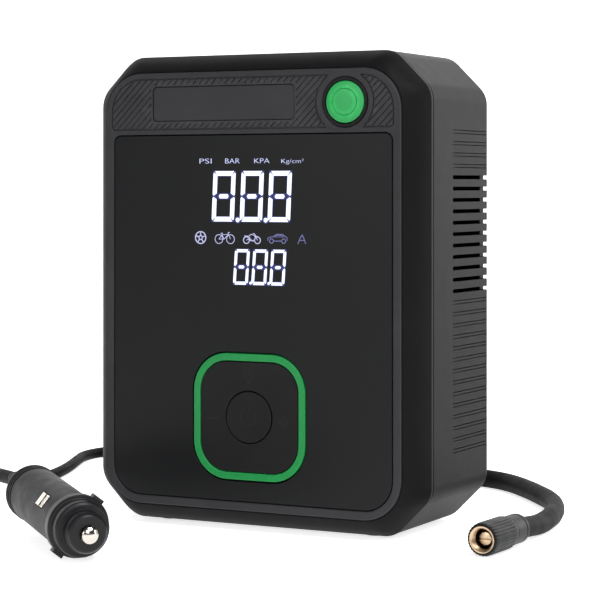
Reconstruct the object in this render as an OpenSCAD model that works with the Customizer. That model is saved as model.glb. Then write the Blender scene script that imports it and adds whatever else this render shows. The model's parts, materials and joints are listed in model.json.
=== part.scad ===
// Portable tyre inflator: a corded 12 V compressor with a digital panel, an air
// hose with a screw-on chuck and a lead with a 12 V plug.
// X is right, Y is depth (the front faces -Y) and Z is up. The origin is on the
// surface that the feet stand on, under the middle of the case.

/* [Case] */
// Width of the case over its flat sides
case_w = 146.6; // [146:0.2:150]
// Height of the case without its feet
case_h = 186; // [185:0.5:188]
// Depth from the front lip to the back face
case_d = 58; // [57.5:0.5:60]
// Depth of the slanted bevel in front of the lip
bevel_d = 9.7; // [9:0.1:10.5]
// Width and height of the 45 degree corner cut
corner_cut = 15.5; // [13:0.5:17]
// Radius that rounds both ends of a corner cut
corner_r = 10; // [8:0.5:12]
// Wall thickness of the two case shells
wall = 2.4; // [2.2:0.1:2.6]
// Height of the rubber feet below the case
foot_h = 1; // [0.8:0.1:1.5]

/* [Front] */
// How far the face frame stands in front of the bevel
frame_raise = 1; // [0.6:0.1:1.2]
// Corner radius of the face frame
frame_r = 16; // [14:0.5:18]
// Width of the glossy display panel
panel_w = 123.2; // [120:0.2:124]
// Diameter of the round pressure release button
bleed_d = 16.1; // [15:0.1:16.5]
// Outer width of the square light ring round the control pad
ring_w = 49.3; // [46:0.1:50]
// Horizontal pitch of the slanted ribs beside the name plate
hatch_pitch = 2.9; // [2.6:0.1:3.4]

/* [Vents] */
// Number of vent grooves down each side
vent_count = 29; // [20:1:30]
// Vertical pitch of the vent grooves
vent_pitch = 4.42; // [4:0.02:4.5]

/* [Pump] */
// Bore of the pump cylinder
bore_d = 24.1; // [24:0.02:24.2]
// Gear module of the reduction
gear_m = 0.9; // [0.9]
// Teeth on the motor pinion
pinion_teeth = 14; // [14]
// Teeth on the crank gear
gear_teeth = 42; // [42]
// Radius of the crank pin's circle
crank_r = 6; // [5:0.5:6]

/* [Air hose] */
// Outer diameter of the air hose
hose_d = 8; // [7.5:0.1:8.2]
// Diameter of the knurled chuck collar
chuck_d = 12.6; // [12:0.1:13]
// Radius of the brass thread that screws onto a tyre valve
valve_thread_r = 3.85; // [3.8:0.05:3.9]

/* [Power lead] */
// Diameter of the power lead
cord_d = 5; // [4.5:0.1:5.2]
// Diameter of the 12 V plug's barrel
plug_d = 21; // [20.5:0.1:21.2]

/* [Hidden] */
$fn = 48;
eps = 0.01;
slack = 0.3;

// Case layout
lip_t = 1.6;
crown = 0.6;
total_d = case_d + bevel_d + frame_raise + crown;
y_face = crown - total_d / 2;
y_deck = y_face + frame_raise;
y_lip = y_deck + bevel_d;
y_part = y_lip + lip_t;
y_back = total_d / 2;
half_w = case_w / 2;
half_h = case_h / 2;
z_mid = foot_h + half_h;
z_low = foot_h;

// Face frame and its deck
frame_hw = half_w - 8.1;
frame_hh = half_h - 7.15;
frame_t = 2.2;
deck_t = 3.2;
deck_back = y_deck + deck_t;
ledge = 0.8;
panel_hw = panel_w / 2;
panel_low = z_low + 10.8;
panel_high = z_low + 154;
panel_sink = 0.3;
panel_r_top = 3;
panel_r_low = 12;
pad_z = z_low + 43.8;
ring_hw = ring_w / 2;
ring_r = 14.7;
ring_band = 2.85;
bleed_x = 41.8;
bleed_z = z_low + 166;
collar_r = 9.6;
plate_x0 = -43.3;
plate_x1 = 20;
plate_z0 = z_low + 159.7;
plate_z1 = z_low + 173.2;
hatch_x0 = -63.5;
hatch_x1 = 63.3;
hatch_z0 = z_low + 156.2;
hatch_z1 = z_low + 176.5;
hatch_deep = 0.45;
hatch_gap = 0.7;

// Printed circuit board
board_y = y_face + 7.55;
board_t = 1.6;
board_hw = 50;
board_z0 = 16;
board_z1 = 156;
board_hole_x = 45;
board_hole_z = [21, 151];
window_x = [-31, 33];
window_z = [92, 152.5];

// Screws and towers
tower_x = 62;
tower_z = [40, 168];
tower_r = 5;
tower_bore = 3.5;
tower_y = -5;
tower_floor = 3;
screw_r = 1.45;
screw_fit = 0.05;
boss_r = 4;

// Pump drive: the motor lies along X above the gear, and the cylinder points down
pump_y = 4;
motor_z = 116;
motor_r = 18;
motor_x0 = -52;
motor_x1 = 5;
shaft_r = 1.6;
centre_dist = gear_m * (pinion_teeth + gear_teeth) / 2;
gear_z = motor_z - centre_dist;
plate_x = 7;
plate_t = 3;
gear_x = 12;
gear_t = 5;
axle_r = 3;
running_fit = 0.05;
pin_r = 3;
rod_x = 21;
rod_t = 5;
rod_len = 40;
wrist_z = gear_z + crank_r - rod_len;
wrist_r = 2;
small_end_r = 3.5;
stroke = 2 * crank_r;
cyl_x = rod_x + rod_t / 2;
cyl_top = 64;
cyl_low = 24.5;
cyl_r = 14.5;
head_low = 14.5;
piston_r = bore_d / 2 - 0.1;
cavity_r = 10.25;
piston_top = wrist_z + 5;
cavity_low = wrist_z - small_end_r - stroke - 0.8;
piston_low = cavity_low - 3;
shelf_z = 64;
shelf_t = 3;
mount_z = [72, 134];
mount_x = [14, 36];
flange_y = 24;

// Tooth form: short involute teeth at 20 degrees with a little backlash
pressure_angle = 20;
addendum = 0.8;
dedendum = 1.15;
backlash = 0.16;

// Air hose: lead out of the gland, one coil behind the case, then the run to the chuck
hose_r = hose_d / 2;
gland_x = -40;
gland_z = 18;
gland_l = 10;
coil_x = 6;
coil_y = 85;
hose_coil_r = 40;
hose_lead_route = [[-40, y_back + gland_l, 18], [-40, 53, 17.6], [-39.5, 63, 15.4],
    [-37.8, 75, 13], [-36.6, 81.5, 12.4]];
hose_route = [[16, 126, 4], [26, 126, 4], [36, 123, 4], [48, 116, 4], [62, 102, 4],
    [75, 86, 4], [85, 72, 4], [93.5, 54, 4], [98, 40, 4], [101, 26, 4], [102.6, 11.5, 4.2],
    [103.3, -1, 5.2], [103.7, -13.3, 6.4]];
chuck_pos = [103.7, -13.3, 6.4];
chuck_turn = -2.5;
ferrule_l = 10;
chuck_l = 21;

// Power lead: lead out of the gland, a coil of fifteen turns, then the run to the plug
cord_r = cord_d / 2;
cord_gland_x = -60;
cord_gland_l = 24;
lead_coil_x = -117.5;
lead_coil_y = 132;
lead_coil_in = 16.2;
lead_coil_out = 40;
lead_coil_h = 20;
cord_lead_route = [[-60, y_back + cord_gland_l, 18], [-60.3, 67, 16.6], [-61.8, 78, 11.6],
    [-65.2, 90, 6], [-70, 101, 3.2], [-74.5, 113, 2.5], [-79, 127, 2.5]];
cord_route = [[-125, 170.3, 17], [-136, 168.6, 14.6], [-148, 164, 10.5], [-161, 155, 5.5],
    [-171, 143, 2.8], [-176, 130, 2.5], [-174.5, 116, 2.5], [-169, 102, 2.5],
    [-161.5, 85, 2.5], [-154.5, 67, 2.5], [-149.5, 50, 2.6], [-145, 32, 3.4], [-140, 14, 5.4],
    [-134.5, -3, 8.6], [-127.5, -20, 12.4], [-116.5, -36.5, 15.7], [-105.3, -48.3, 17.3],
    [-93.17, -57.9, 17.81]];
plug_turn = -40;
plug_drop = 4;
relief_l = 26;

// Plug, measured along its axis from the tail flange towards the tip
plug_pos = [-73.3, -74.57, 16];
flange_r = 10.8;
barrel_l = 58;
collar_l = 4.5;
step_l = 5.4;
plug_wall = 1.8;
nose_l = 5.5;
nose_front_l = 1;
nose_r = 7.6;
nose_step_r = 10.3;
nose_front_r = 6.9;
lug_w = 4.6;
lug_t = 2.6;
nose_z = barrel_l + 0.1 + collar_l + step_l;
tip_wall_z = nose_z + nose_l + nose_front_l;
tip_r = 3;
contact_z = 39;
contact_l = 8;
contact_w = 4.4;

function arc(cx, cy, r, a0, a1, n) =
    [for (i = [0:n]) let (a = a0 + (a1 - a0) * i / n) [cx + r * cos(a), cy + r * sin(a)]];
function quad(p) =
    let (n = len(p) - 1)
    concat(p, [for (i = [n:-1:0]) [-p[i][0], p[i][1]]], [for (q = p) -q],
        [for (i = [n:-1:0]) [p[i][0], -p[i][1]]]);
function rounded(hx, hy, r) = quad(arc(hx - r, hy - r, r, 0, 90, 9));
// A rectangle with 45 degree corner cuts whose ends are rounded
function cut_corner(hx, hy, c, r) =
    let (k = c + r * (sqrt(2) - 1))
    quad(concat(arc(hx - r, hy - k, r, 0, 45, 4), arc(hx - k, hy - r, r, 45, 90, 4)));
// The case outline, drawn in by an inset
function case_outline(inset) =
    cut_corner(half_w - inset, half_h - inset, corner_cut - inset * (2 - sqrt(2)),
        max(corner_r - inset, 1));
function at_depth(pts, y) = [for (p = pts) [p[0], y, z_mid + p[1]]];
function panel_outline(grow) =
    let (hx = panel_hw + grow, lo = panel_low - grow, hi = panel_high + grow)
    let (rt = panel_r_top + grow, rl = panel_r_low + grow)
    concat(arc(hx - rt, hi - rt, rt, 0, 90, 5), arc(-hx + rt, hi - rt, rt, 90, 180, 5),
        arc(-hx + rl, lo + rl, rl, 180, 270, 8), arc(hx - rl, lo + rl, rl, 270, 360, 8));
function unit(v) = v / norm(v);
function step_at(path, i) =
    path[min(i + 1, len(path) - 1)] - path[max(i - 1, 0)];
function ring_at(path, i, r, sides, start, finish, up) =
    let (t = i == 0 ? start : (i == len(path) - 1 ? finish : unit(step_at(path, i))))
    let (s = unit(cross(up, t)), u = cross(t, s))
    [for (k = [0:sides - 1]) path[i] + r * (cos(360 * k / sides) * s
        - sin(360 * k / sides) * u)];
function flat(list) = [for (a = list) for (b = a) b];
// Involute tooth outline
function inv(a) = tan(a) - a * PI / 180;
function tooth_half(teeth, r) =
    let (pitch_r = gear_m * teeth / 2, base_r = pitch_r * cos(pressure_angle))
    let (a = r > base_r ? acos(base_r / r) : 0)
    90 / teeth - backlash / 2 / pitch_r * 90 / PI
        + (inv(pressure_angle) - inv(a)) * 180 / PI;
function gear_outline(teeth, start) =
    let (pitch_r = gear_m * teeth / 2, root_r = pitch_r - dedendum * gear_m)
    let (tip_r = pitch_r + addendum * gear_m, radii = [0, 0.3, 0.55, 0.78, 1])
    flat([for (i = [0:teeth - 1]) let (c = start + 360 * i / teeth)
        concat(
            [for (f = radii) let (r = root_r + (tip_r - root_r) * f)
                let (a = c - tooth_half(teeth, r)) [r * cos(a), r * sin(a)]],
            [for (f = radii) let (r = tip_r - (tip_r - root_r) * f)
                let (a = c + tooth_half(teeth, r)) [r * cos(a), r * sin(a)]])]);

// A closed skin through rings of equal numbers of points
module skin(rings) {
    n = len(rings[0]);
    m = len(rings);
    polyhedron(points = flat(rings), faces = concat(
        [[for (j = [n - 1:-1:0]) j]],
        [[for (j = [0:n - 1]) (m - 1) * n + j]],
        [for (i = [0:m - 2]) for (j = [0:n - 1]) [i * n + j, i * n + (j + 1) % n,
            (i + 1) * n + (j + 1) % n]],
        [for (i = [0:m - 2]) for (j = [0:n - 1]) [i * n + j, (i + 1) * n + (j + 1) % n,
            (i + 1) * n + j]]));
}
// A round tube swept along a route, with the headings that it starts and finishes in
module tube(path, r, sides, start, finish, up = [0, 0, 1]) {
    skin([for (i = [0:len(path) - 1]) ring_at(path, i, r, sides, start, finish, up)]);
}
// A plate drawn in X and Z, from y0 to y1
module slab(y0, y1) {
    translate([0, y1, 0]) rotate([90, 0, 0]) linear_extrude(y1 - y0) children();
}
module box(x0, x1, y0, y1, z0, z1) {
    translate([x0, y0, z0]) cube([x1 - x0, y1 - y0, z1 - z0]);
}
// Round bars along each axis
module bar_x(y, z, r, x0, x1) {
    translate([x0, y, z]) rotate([0, 90, 0]) cylinder(r = r, h = x1 - x0);
}
module bar_y(x, z, r, y0, y1) {
    translate([x, y0, z]) rotate([-90, 0, 0]) cylinder(r = r, h = y1 - y0);
}
module bar_z(x, y, r, z0, z1) {
    translate([x, y, z0]) cylinder(r = r, h = z1 - z0);
}
module at_corners(xs, zs) {
    for (x = xs) for (z = zs) translate([x, 0, z]) children();
}
module screw(head_r, head_h, r, length) {
    cylinder(r = head_r, h = head_h);
    translate([0, 0, -length]) cylinder(r = r, h = length + eps);
}

module front_cover() {
    color("#242426") difference() {
        union() {
            difference() {
                skin([at_depth(rounded(frame_hw + ledge, frame_hh + ledge, frame_r + ledge),
                        y_deck),
                    at_depth(case_outline(0.6), y_lip - 0.8),
                    at_depth(case_outline(0), y_lip),
                    at_depth(case_outline(0), y_part)]);
                skin([at_depth(rounded(frame_hw - 1.2, frame_hh - 1.2, frame_r - 1.2),
                        deck_back),
                    at_depth(case_outline(wall + 0.4), y_lip),
                    at_depth(case_outline(wall), y_part + 1)]);
            }
            at_corners([-tower_x, tower_x], tower_z) bar_y(0, 0, boss_r, deck_back - 1, tower_y);
            at_corners([-board_hole_x, board_hole_x], board_hole_z)
                bar_y(0, 0, 3, deck_back - 1, board_y);
        }
        slab(y_deck - 2, y_deck + frame_t - frame_raise) translate([0, z_mid])
            polygon(rounded(frame_hw + slack, frame_hh + slack, frame_r + slack));
        box(window_x[0], window_x[1], y_face, deck_back + 1, window_z[0], window_z[1]);
        slab(y_face, deck_back + 1) translate([0, pad_z])
            polygon(rounded(ring_hw + slack, ring_hw + slack, ring_r + slack));
        bar_y(bleed_x, bleed_z, collar_r + slack, y_face, deck_back + 1);
        at_corners([-tower_x, tower_x], tower_z)
            bar_y(0, 0, screw_r + screw_fit, tower_y - 16, tower_y + 1);
        at_corners([-board_hole_x, board_hole_x], board_hole_z)
            bar_y(0, 0, 1.15, board_y - 5, board_y + 1);
    }
}

module hatch_ribs() {
    intersection() {
        difference() {
            box(hatch_x0, hatch_x1, y_face - 1, y_face + hatch_deep, hatch_z0, hatch_z1);
            box(plate_x0 - 1.4, plate_x1 + 1.4, y_face - 2, y_face + 2, plate_z0 - 1.4,
                plate_z1 + 1.4);
            bar_y(bleed_x, bleed_z, 12.2, y_face - 2, y_face + 2);
        }
        union() {
            for (x = [hatch_x0 - 20:hatch_pitch:hatch_x1])
                translate([x, y_face - 1, hatch_z0 - 0.5]) rotate([0, 45, 0])
                    translate([0, 0, -1]) cube([hatch_gap, 3, 34]);
        }
        slab(y_face - 2, y_face + 2) translate([0, z_mid])
            polygon(rounded(frame_hw - 2.4, frame_hh - 2.4, frame_r - 2.4));
    }
}

module face_frame() {
    color("#3c3c3f") difference() {
        slab(y_face, y_face + frame_t) translate([0, z_mid])
            polygon(rounded(frame_hw, frame_hh, frame_r));
        slab(y_face - 1, y_face + frame_t + 1) polygon(panel_outline(slack));
        hatch_ribs();
        box(plate_x0 - 0.2, plate_x1 + 0.2, y_face - 1, y_face + 1, plate_z0 - 0.2,
            plate_z1 + 0.2);
        bar_y(bleed_x, bleed_z, collar_r + 0.1, y_face - 1, y_face + frame_t + 1);
    }
}

module name_plate() {
    color("#38383a") slab(y_face + 0.2, y_face + 1)
        translate([(plate_x0 + plate_x1) / 2, (plate_z0 + plate_z1) / 2])
            polygon(rounded((plate_x1 - plate_x0) / 2, (plate_z1 - plate_z0) / 2, 1.7));
}

module display_panel() {
    color("#16171a") difference() {
        slab(y_face + panel_sink, y_face + frame_t) polygon(panel_outline(0));
        slab(y_face - 1, y_face + frame_t + 1) translate([0, pad_z])
            polygon(rounded(ring_hw + slack, ring_hw + slack, ring_r + slack));
    }
}

module button_collar() {
    color("#1b1b1d") difference() {
        bar_y(bleed_x, bleed_z, collar_r, y_face, y_face + 10);
        bar_y(bleed_x, bleed_z, bleed_d / 2 + slack, y_face - 1, y_face + 11);
    }
}

module bleed_button() {
    dome_r = 54;
    cap_r = bleed_d / 2;
    cap_h = 7;
    stem_r = 2;
    stem_end = crown + 10;
    dome = [for (i = [0:6]) let (r = cap_r * i / 6) [r, dome_r - sqrt(dome_r * dome_r - r * r)]];
    color("#35b661") translate([bleed_x, y_face - crown, bleed_z]) rotate([-90, 0, 0])
        rotate_extrude() polygon(concat(dome,
            [[cap_r, cap_h], [stem_r, cap_h], [stem_r, stem_end], [0, stem_end]]));
}

module bleed_button_spring() {
    turns = 5;
    y0 = y_face + 6.9;
    y1 = y_face + 13.5;
    steps = turns * 10;
    coil = [for (i = [0:steps]) let (a = 360 * turns * i / steps)
        [bleed_x + 4.2 * cos(a), y0 + (y1 - y0) * i / steps, bleed_z + 4.2 * sin(a)]];
    color("silver") skin([for (i = [0:steps]) let (a = 360 * turns * i / steps)
        let (out = [cos(a), 0, sin(a)])
        [for (k = [0:5]) coil[i] + 0.4 * (cos(-60 * k) * out + sin(-60 * k) * [0, 1, 0])]]);
}

module bleed_valve() {
    y0 = y_face + 14.05;
    color("#d8d4c4") {
        bar_y(bleed_x, bleed_z, 7, y0, y0 + 14);
        bar_y(bleed_x, bleed_z, 1.5, y0 - 0.7, y0 + 1);
        bar_z(bleed_x, y0 + 9, 2, bleed_z - 11, bleed_z - 5);
    }
}

module light_ring() {
    color("#2fa553") difference() {
        slab(y_face + 0.1, y_face + 4.8) translate([0, pad_z])
            polygon(rounded(ring_hw, ring_hw, ring_r));
        slab(y_face - 1, y_face + 6) translate([0, pad_z])
            polygon(rounded(ring_hw - ring_band, ring_hw - ring_band, ring_r - ring_band));
    }
}

module control_pad() {
    hw = ring_hw - ring_band - slack;
    color("#1d1d1f") difference() {
        slab(y_face + 0.35, y_face + 2.9) translate([0, pad_z])
            polygon(rounded(hw, hw, ring_r - ring_band - slack));
        bar_y(0, pad_z, 10.3, y_face - 1, y_face + 4);
    }
}

module power_button() {
    color("#1d1d1f") bar_y(0, pad_z, 10, y_face + 0.15, y_face + 3.1);
}

module keypad_membrane() {
    y0 = y_face + 5;
    color("#bdbdb8") {
        slab(y0, y0 + 1.2) translate([0, pad_z]) polygon(rounded(20, 20, 10));
        for (p = [[0, 0], [15, 0], [-15, 0], [0, 15], [0, -15]])
            bar_y(p[0], pad_z + p[1], 2.5, y0 - 0.9, y0 + eps);
    }
}

// Vent grooves: four shallow, eleven cut through, then fourteen shallow
module vent_cuts() {
    top_z = z_low + 155;
    for (i = [0:vent_count - 1]) {
        open = i > 3 && i < 15;
        deep = open ? wall + 0.6 : 1;
        high = open ? 1.5 : 1.1;
        for (s = [-1, 1])
            translate([s > 0 ? half_w - deep : -half_w - 5, y_lip + 20.4,
                top_z - i * vent_pitch - high / 2])
                cube([deep + 5, case_d, high]);
    }
}

module rear_housing() {
    round_r = 4;
    back_steps = [0, 30, 60, 90];
    color("#3a3a3c") difference() {
        union() {
            difference() {
                skin(concat([at_depth(case_outline(0.15), y_part)],
                    [for (a = back_steps) at_depth(case_outline(round_r * (1 - cos(a)) + 0.15),
                        y_back - round_r + round_r * sin(a))]));
                skin([at_depth(case_outline(wall), y_part - 1),
                    at_depth(case_outline(wall), y_back - wall - 2),
                    at_depth(case_outline(wall + 2), y_back - wall)]);
            }
            at_corners([-tower_x, tower_x], tower_z) bar_y(0, 0, tower_r, tower_y, y_back - 1);
            at_corners(mount_x, mount_z) bar_y(0, 0, 4.5, flange_y + 6, y_back - 1);
        }
        vent_cuts();
        at_corners([-tower_x, tower_x], tower_z) {
            bar_y(0, 0, 1.7, tower_y - 1, y_back);
            bar_y(0, 0, tower_bore, tower_y + tower_floor, y_back + 1);
        }
        at_corners(mount_x, mount_z) bar_y(0, 0, 1.3, flange_y + 5, y_back - 1.2);
        bar_y(gland_x, gland_z, 6.1, 0, y_back + 1);
        bar_y(cord_gland_x, gland_z, 4.6, 0, y_back + 1);
    }
}

module case_screws() {
    color("#9a9a9e") at_corners([-tower_x, tower_x], tower_z)
        translate([0, tower_y + tower_floor, 0]) rotate([-90, 0, 0]) difference() {
            screw(3, 2.2, screw_r, 17);
            translate([-2, -0.35, 1.2]) cube([4, 0.7, 2]);
            translate([-0.35, -2, 1.2]) cube([0.7, 4, 2]);
        }
}

module feet() {
    color("#141414") for (x = [-46, 46]) for (y = [y_lip + 9, y_back - 12])
        translate([x, y, 0]) cylinder(r = 5, h = foot_h);
}

module hose_gland() {
    color("#1a1a1c") difference() {
        union() {
            bar_y(gland_x, gland_z, 6, y_back - wall - 1, y_back + gland_l);
            bar_y(gland_x, gland_z, 7.5, y_back, y_back + 4);
            bar_y(gland_x, gland_z, 7.5, y_back - wall - 3, y_back - wall);
            bar_y(gland_x, gland_z, 2.5, y_back - wall - 9, y_back - wall - 1);
        }
        bar_y(gland_x, gland_z, 1.5, y_back - wall - 10, y_back + gland_l - 1);
    }
}

// Strain relief: a rubber sleeve that tapers from the case to the lead
module cord_gland() {
    color("#1a1a1c") {
        translate([cord_gland_x, y_back, gland_z]) rotate([-90, 0, 0])
            cylinder(r1 = 5, r2 = 3.2, h = cord_gland_l);
        bar_y(cord_gland_x, gland_z, 4.5, y_back - wall - 1, y_back + 1);
        bar_y(cord_gland_x, gland_z, 6.5, y_back, y_back + 1.5);
        bar_y(cord_gland_x, gland_z, 5.2, y_back - wall - 3, y_back - wall);
    }
}

module main_board() {
    color("#1f5a38") difference() {
        union() {
            box(-board_hw, board_hw, board_y, board_y + board_t, board_z0, board_z1);
            box(-38, -26, board_y + board_t - eps, board_y + 8, 60, 78);
            box(-20, -12, board_y + board_t - eps, board_y + 6, 60, 70);
            bar_y(-30, 40, 4, board_y + board_t - eps, board_y + 9);
        }
        at_corners([-board_hole_x, board_hole_x], board_hole_z)
            bar_y(0, 0, 1.4, board_y - 1, board_y + board_t + 1);
    }
}

module board_screws() {
    color("#b8b8bc") at_corners([-board_hole_x, board_hole_x], board_hole_z)
        translate([0, board_y + board_t, 0]) rotate([-90, 0, 0]) screw(2.4, 1.6, 1.1, 6);
}

module display_module() {
    color("#e8e8e8") box(window_x[0] + 1, window_x[1] - 1, y_face + frame_t + 0.4, board_y,
        window_z[0] + 1.5, window_z[1] - 1);
}

module snap_domes() {
    color("silver") for (p = [[0, 0], [15, 0], [-15, 0], [0, 15], [0, -15]])
        bar_y(p[0], pad_z + p[1], 2.5, board_y - 0.4, board_y);
}

module pressure_sensor() {
    color("#202020") {
        box(32, 42, board_y + board_t, board_y + board_t + 6, 116, 126);
        bar_y(37, 121, 1.6, board_y + board_t + 5, board_y + board_t + 10);
    }
}

module motor_can() {
    color("#8d8f94") difference() {
        union() {
            bar_x(pump_y, motor_z, motor_r, motor_x0, motor_x1);
            bar_x(pump_y, motor_z, 6, motor_x1 - 1, motor_x1 + 3);
        }
        bar_x(pump_y, motor_z, shaft_r + 0.4, motor_x0 - 1, motor_x1 + 4);
        bar_x(pump_y, motor_z, motor_r - 2, motor_x0 - 1, motor_x1 - 3);
    }
}

module motor_end_cap() {
    color("#24262a") difference() {
        bar_x(pump_y, motor_z, motor_r - 2.1, motor_x0 - 2, motor_x0 + 6);
        bar_x(pump_y, motor_z, shaft_r + running_fit, motor_x0 - 3, motor_x0 + 7);
    }
}

module motor_shaft() {
    color("#c8c8cc") {
        bar_x(pump_y, motor_z, shaft_r, motor_x0 - 12, gear_x + gear_t + 1);
        bar_x(pump_y, motor_z, 11, motor_x0 + 14, motor_x1 - 10);
    }
}

module pinion() {
    color("#c9a44a") difference() {
        translate([gear_x - 0.5, pump_y, motor_z]) rotate([0, 90, 0])
            linear_extrude(gear_t + 1) polygon(gear_outline(pinion_teeth, 0));
        bar_x(pump_y, motor_z, shaft_r, gear_x - 2, gear_x + gear_t + 2);
    }
}

module cooling_fan() {
    x0 = motor_x0 - 11;
    color("#2b2b2e") difference() {
        union() {
            bar_x(pump_y, motor_z, 5, x0, x0 + 7);
            bar_x(pump_y, motor_z, 15, x0 + 6, x0 + 7.4);
            for (k = [0:6]) translate([x0, pump_y, motor_z]) rotate([360 * k / 7, 0, 0])
                translate([0.5, -0.7, 3]) cube([6, 1.4, 12.5]);
        }
        bar_x(pump_y, motor_z, shaft_r, x0 - 1, x0 + 9);
    }
}

module motor_leads() {
    for (s = [0, 1]) color(s ? "#b02020" : "#202020")
        tube([[motor_x0 + 8, -12.2, motor_z + 16 - 6 * s], [motor_x0 + 10, -16, motor_z + 20 - 6 * s],
            [motor_x0 + 12, -20, motor_z + 22 - 6 * s],
            [motor_x0 + 14, board_y + board_t, motor_z + 23 - 6 * s]], 0.9, 8,
            [0, -0.7, 0.7], [0, -1, 0]);
}

module pump_bracket() {
    x1 = 41;
    color("#a8aab0") difference() {
        union() {
            box(plate_x, plate_x + plate_t, -16, flange_y + 3, shelf_z, 138);
            box(plate_x, x1, flange_y, flange_y + 3, shelf_z, 138);
            box(plate_x, x1, -14, flange_y + 3, shelf_z, shelf_z + shelf_t);
        }
        bar_x(pump_y, motor_z, 6.1, plate_x - 1, plate_x + plate_t + 1);
        bar_x(pump_y, gear_z, axle_r, plate_x - 1, plate_x + plate_t + 1);
        bar_z(cyl_x, pump_y, 10.6, shelf_z - 1, shelf_z + shelf_t + 1);
        at_corners(mount_x, mount_z) bar_y(0, 0, 1.7, flange_y - 1, flange_y + 4);
    }
}

module pump_mounts() {
    color("#18181a") at_corners(mount_x, mount_z) difference() {
        bar_y(0, 0, 5, flange_y + 3, flange_y + 6);
        bar_y(0, 0, 1.7, flange_y + 2, flange_y + 7);
    }
}

module pump_screws() {
    color("#b8b8bc") at_corners(mount_x, mount_z) translate([0, flange_y, 0])
        rotate([90, 0, 0]) screw(2.8, 1.8, 1.2, 9);
}

module gear_axle() {
    color("#c8c8cc") {
        bar_x(pump_y, gear_z, axle_r, plate_x, gear_x + gear_t);
        bar_x(pump_y, gear_z, 4.6, plate_x + plate_t, gear_x - 0.4);
    }
}

module drive_gear() {
    color("#d9d4c2") difference() {
        translate([gear_x, pump_y, gear_z]) rotate([0, 90, 0]) linear_extrude(gear_t)
            polygon(gear_outline(gear_teeth, 180 / gear_teeth));
        bar_x(pump_y, gear_z, axle_r + running_fit, gear_x - 1, gear_x + gear_t + 1);
        bar_x(pump_y, gear_z + crank_r, pin_r - 1, gear_x - 1, gear_x + gear_t + 1);
        for (a = [90, 180, 270]) translate([gear_x - 1, pump_y, gear_z]) rotate([a, 0, 0])
            translate([0, 0, 11]) rotate([0, 90, 0]) cylinder(r = 3, h = gear_t + 2);
    }
}

module crank_pin() {
    color("#c8c8cc") {
        bar_x(pump_y, gear_z + crank_r, pin_r - 1, gear_x, gear_x + gear_t + eps);
        bar_x(pump_y, gear_z + crank_r, pin_r, gear_x + gear_t, rod_x + rod_t + 1);
        bar_x(pump_y, gear_z + crank_r, pin_r + 1.2, rod_x + rod_t + 0.3, rod_x + rod_t + 1.5);
    }
}

module connecting_rod() {
    top = gear_z + crank_r;
    color("#b9bbc0") difference() {
        union() {
            bar_x(pump_y, top, 6, rod_x, rod_x + rod_t);
            bar_x(pump_y, wrist_z, small_end_r, rod_x, rod_x + rod_t);
            box(rod_x, rod_x + rod_t, pump_y - 2.6, pump_y + 2.6, wrist_z, top);
        }
        bar_x(pump_y, top, pin_r + running_fit, rod_x - 1, rod_x + rod_t + 1);
        bar_x(pump_y, wrist_z, wrist_r, rod_x - 1, rod_x + rod_t + 1);
    }
}

module wrist_pin() {
    color("#c8c8cc") bar_x(pump_y, wrist_z, wrist_r, cyl_x - 4.5, cyl_x + 4.5);
}

module piston() {
    color("#9c9ea3") difference() {
        bar_z(cyl_x, pump_y, piston_r, piston_low, piston_top);
        bar_z(cyl_x, pump_y, cavity_r, cavity_low, piston_top + 1);
        difference() {
            bar_z(cyl_x, pump_y, piston_r + 1, piston_low + 2, piston_low + 4);
            bar_z(cyl_x, pump_y, piston_r - 0.9, piston_low + 1, piston_low + 5);
        }
    }
}

module piston_ring() {
    color("#5b3a22") difference() {
        bar_z(cyl_x, pump_y, bore_d / 2 - 0.04, piston_low + 2, piston_low + 4);
        bar_z(cyl_x, pump_y, piston_r - 0.9, piston_low + 1, piston_low + 5);
    }
}

module cylinder_barrel() {
    bar_z(cyl_x, pump_y, cyl_r, cyl_low, cyl_top);
    bar_z(cyl_x, pump_y, cyl_r + 2.5, cyl_top - 3, cyl_top);
    for (z = [cyl_low + 4:5:cyl_top - 8]) bar_z(cyl_x, pump_y, cyl_r + 2, z, z + 1.6);
}

module pump_cylinder() {
    color("#b4b6bb") difference() {
        cylinder_barrel();
        bar_z(cyl_x, pump_y, bore_d / 2, cyl_low - 1, cyl_top + 1);
    }
}

module cylinder_head() {
    color("#6c6e73") {
        bar_z(cyl_x, pump_y, cyl_r + 2, head_low, cyl_low);
        bar_x(pump_y, head_low + 4.5, 2, cyl_x - cyl_r - 6, cyl_x - cyl_r);
        bar_x(pump_y, head_low + 4.5, 2, cyl_x + cyl_r, cyl_x + cyl_r + 6);
    }
}

module outlet_tube() {
    x0 = cyl_x - cyl_r - 6;
    z0 = head_low + 4.5;
    color("#c8c0a8") tube([[x0, pump_y, z0], [x0 - 8, pump_y + 0.5, z0], [x0 - 17, pump_y + 3, z0],
        [x0 - 26, pump_y + 7, z0 - 0.4], [gland_x + 5, 15, gland_z], [gland_x + 1, 19, gland_z],
        [gland_x, y_back - wall - 9, gland_z]], 2.4, 8, [-1, 0, 0], [0, 1, 0]);
}

module release_tube() {
    x0 = cyl_x + cyl_r + 6;
    z0 = head_low + 4.5;
    valve_y = y_face + 23.05;
    color("#c8c0a8") tube([[x0, pump_y, z0], [x0 + 5, pump_y, z0 + 1.5], [x0 + 8, pump_y, z0 + 6],
        [x0 + 9, pump_y, z0 + 14], [x0 + 9, pump_y, z0 + 50], [x0 + 9, pump_y, z0 + 90],
        [x0 + 8.4, pump_y - 4, z0 + 112], [x0 + 5, pump_y - 9, z0 + 124],
        [bleed_x + 4, valve_y + 1, bleed_z - 17.5], [bleed_x + 1, valve_y, bleed_z - 14.5],
        [bleed_x, valve_y, bleed_z - 11]], 2.4, 8, [1, 0, 0], [0, 0, 1], [0, 1, 0]);
}

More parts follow.
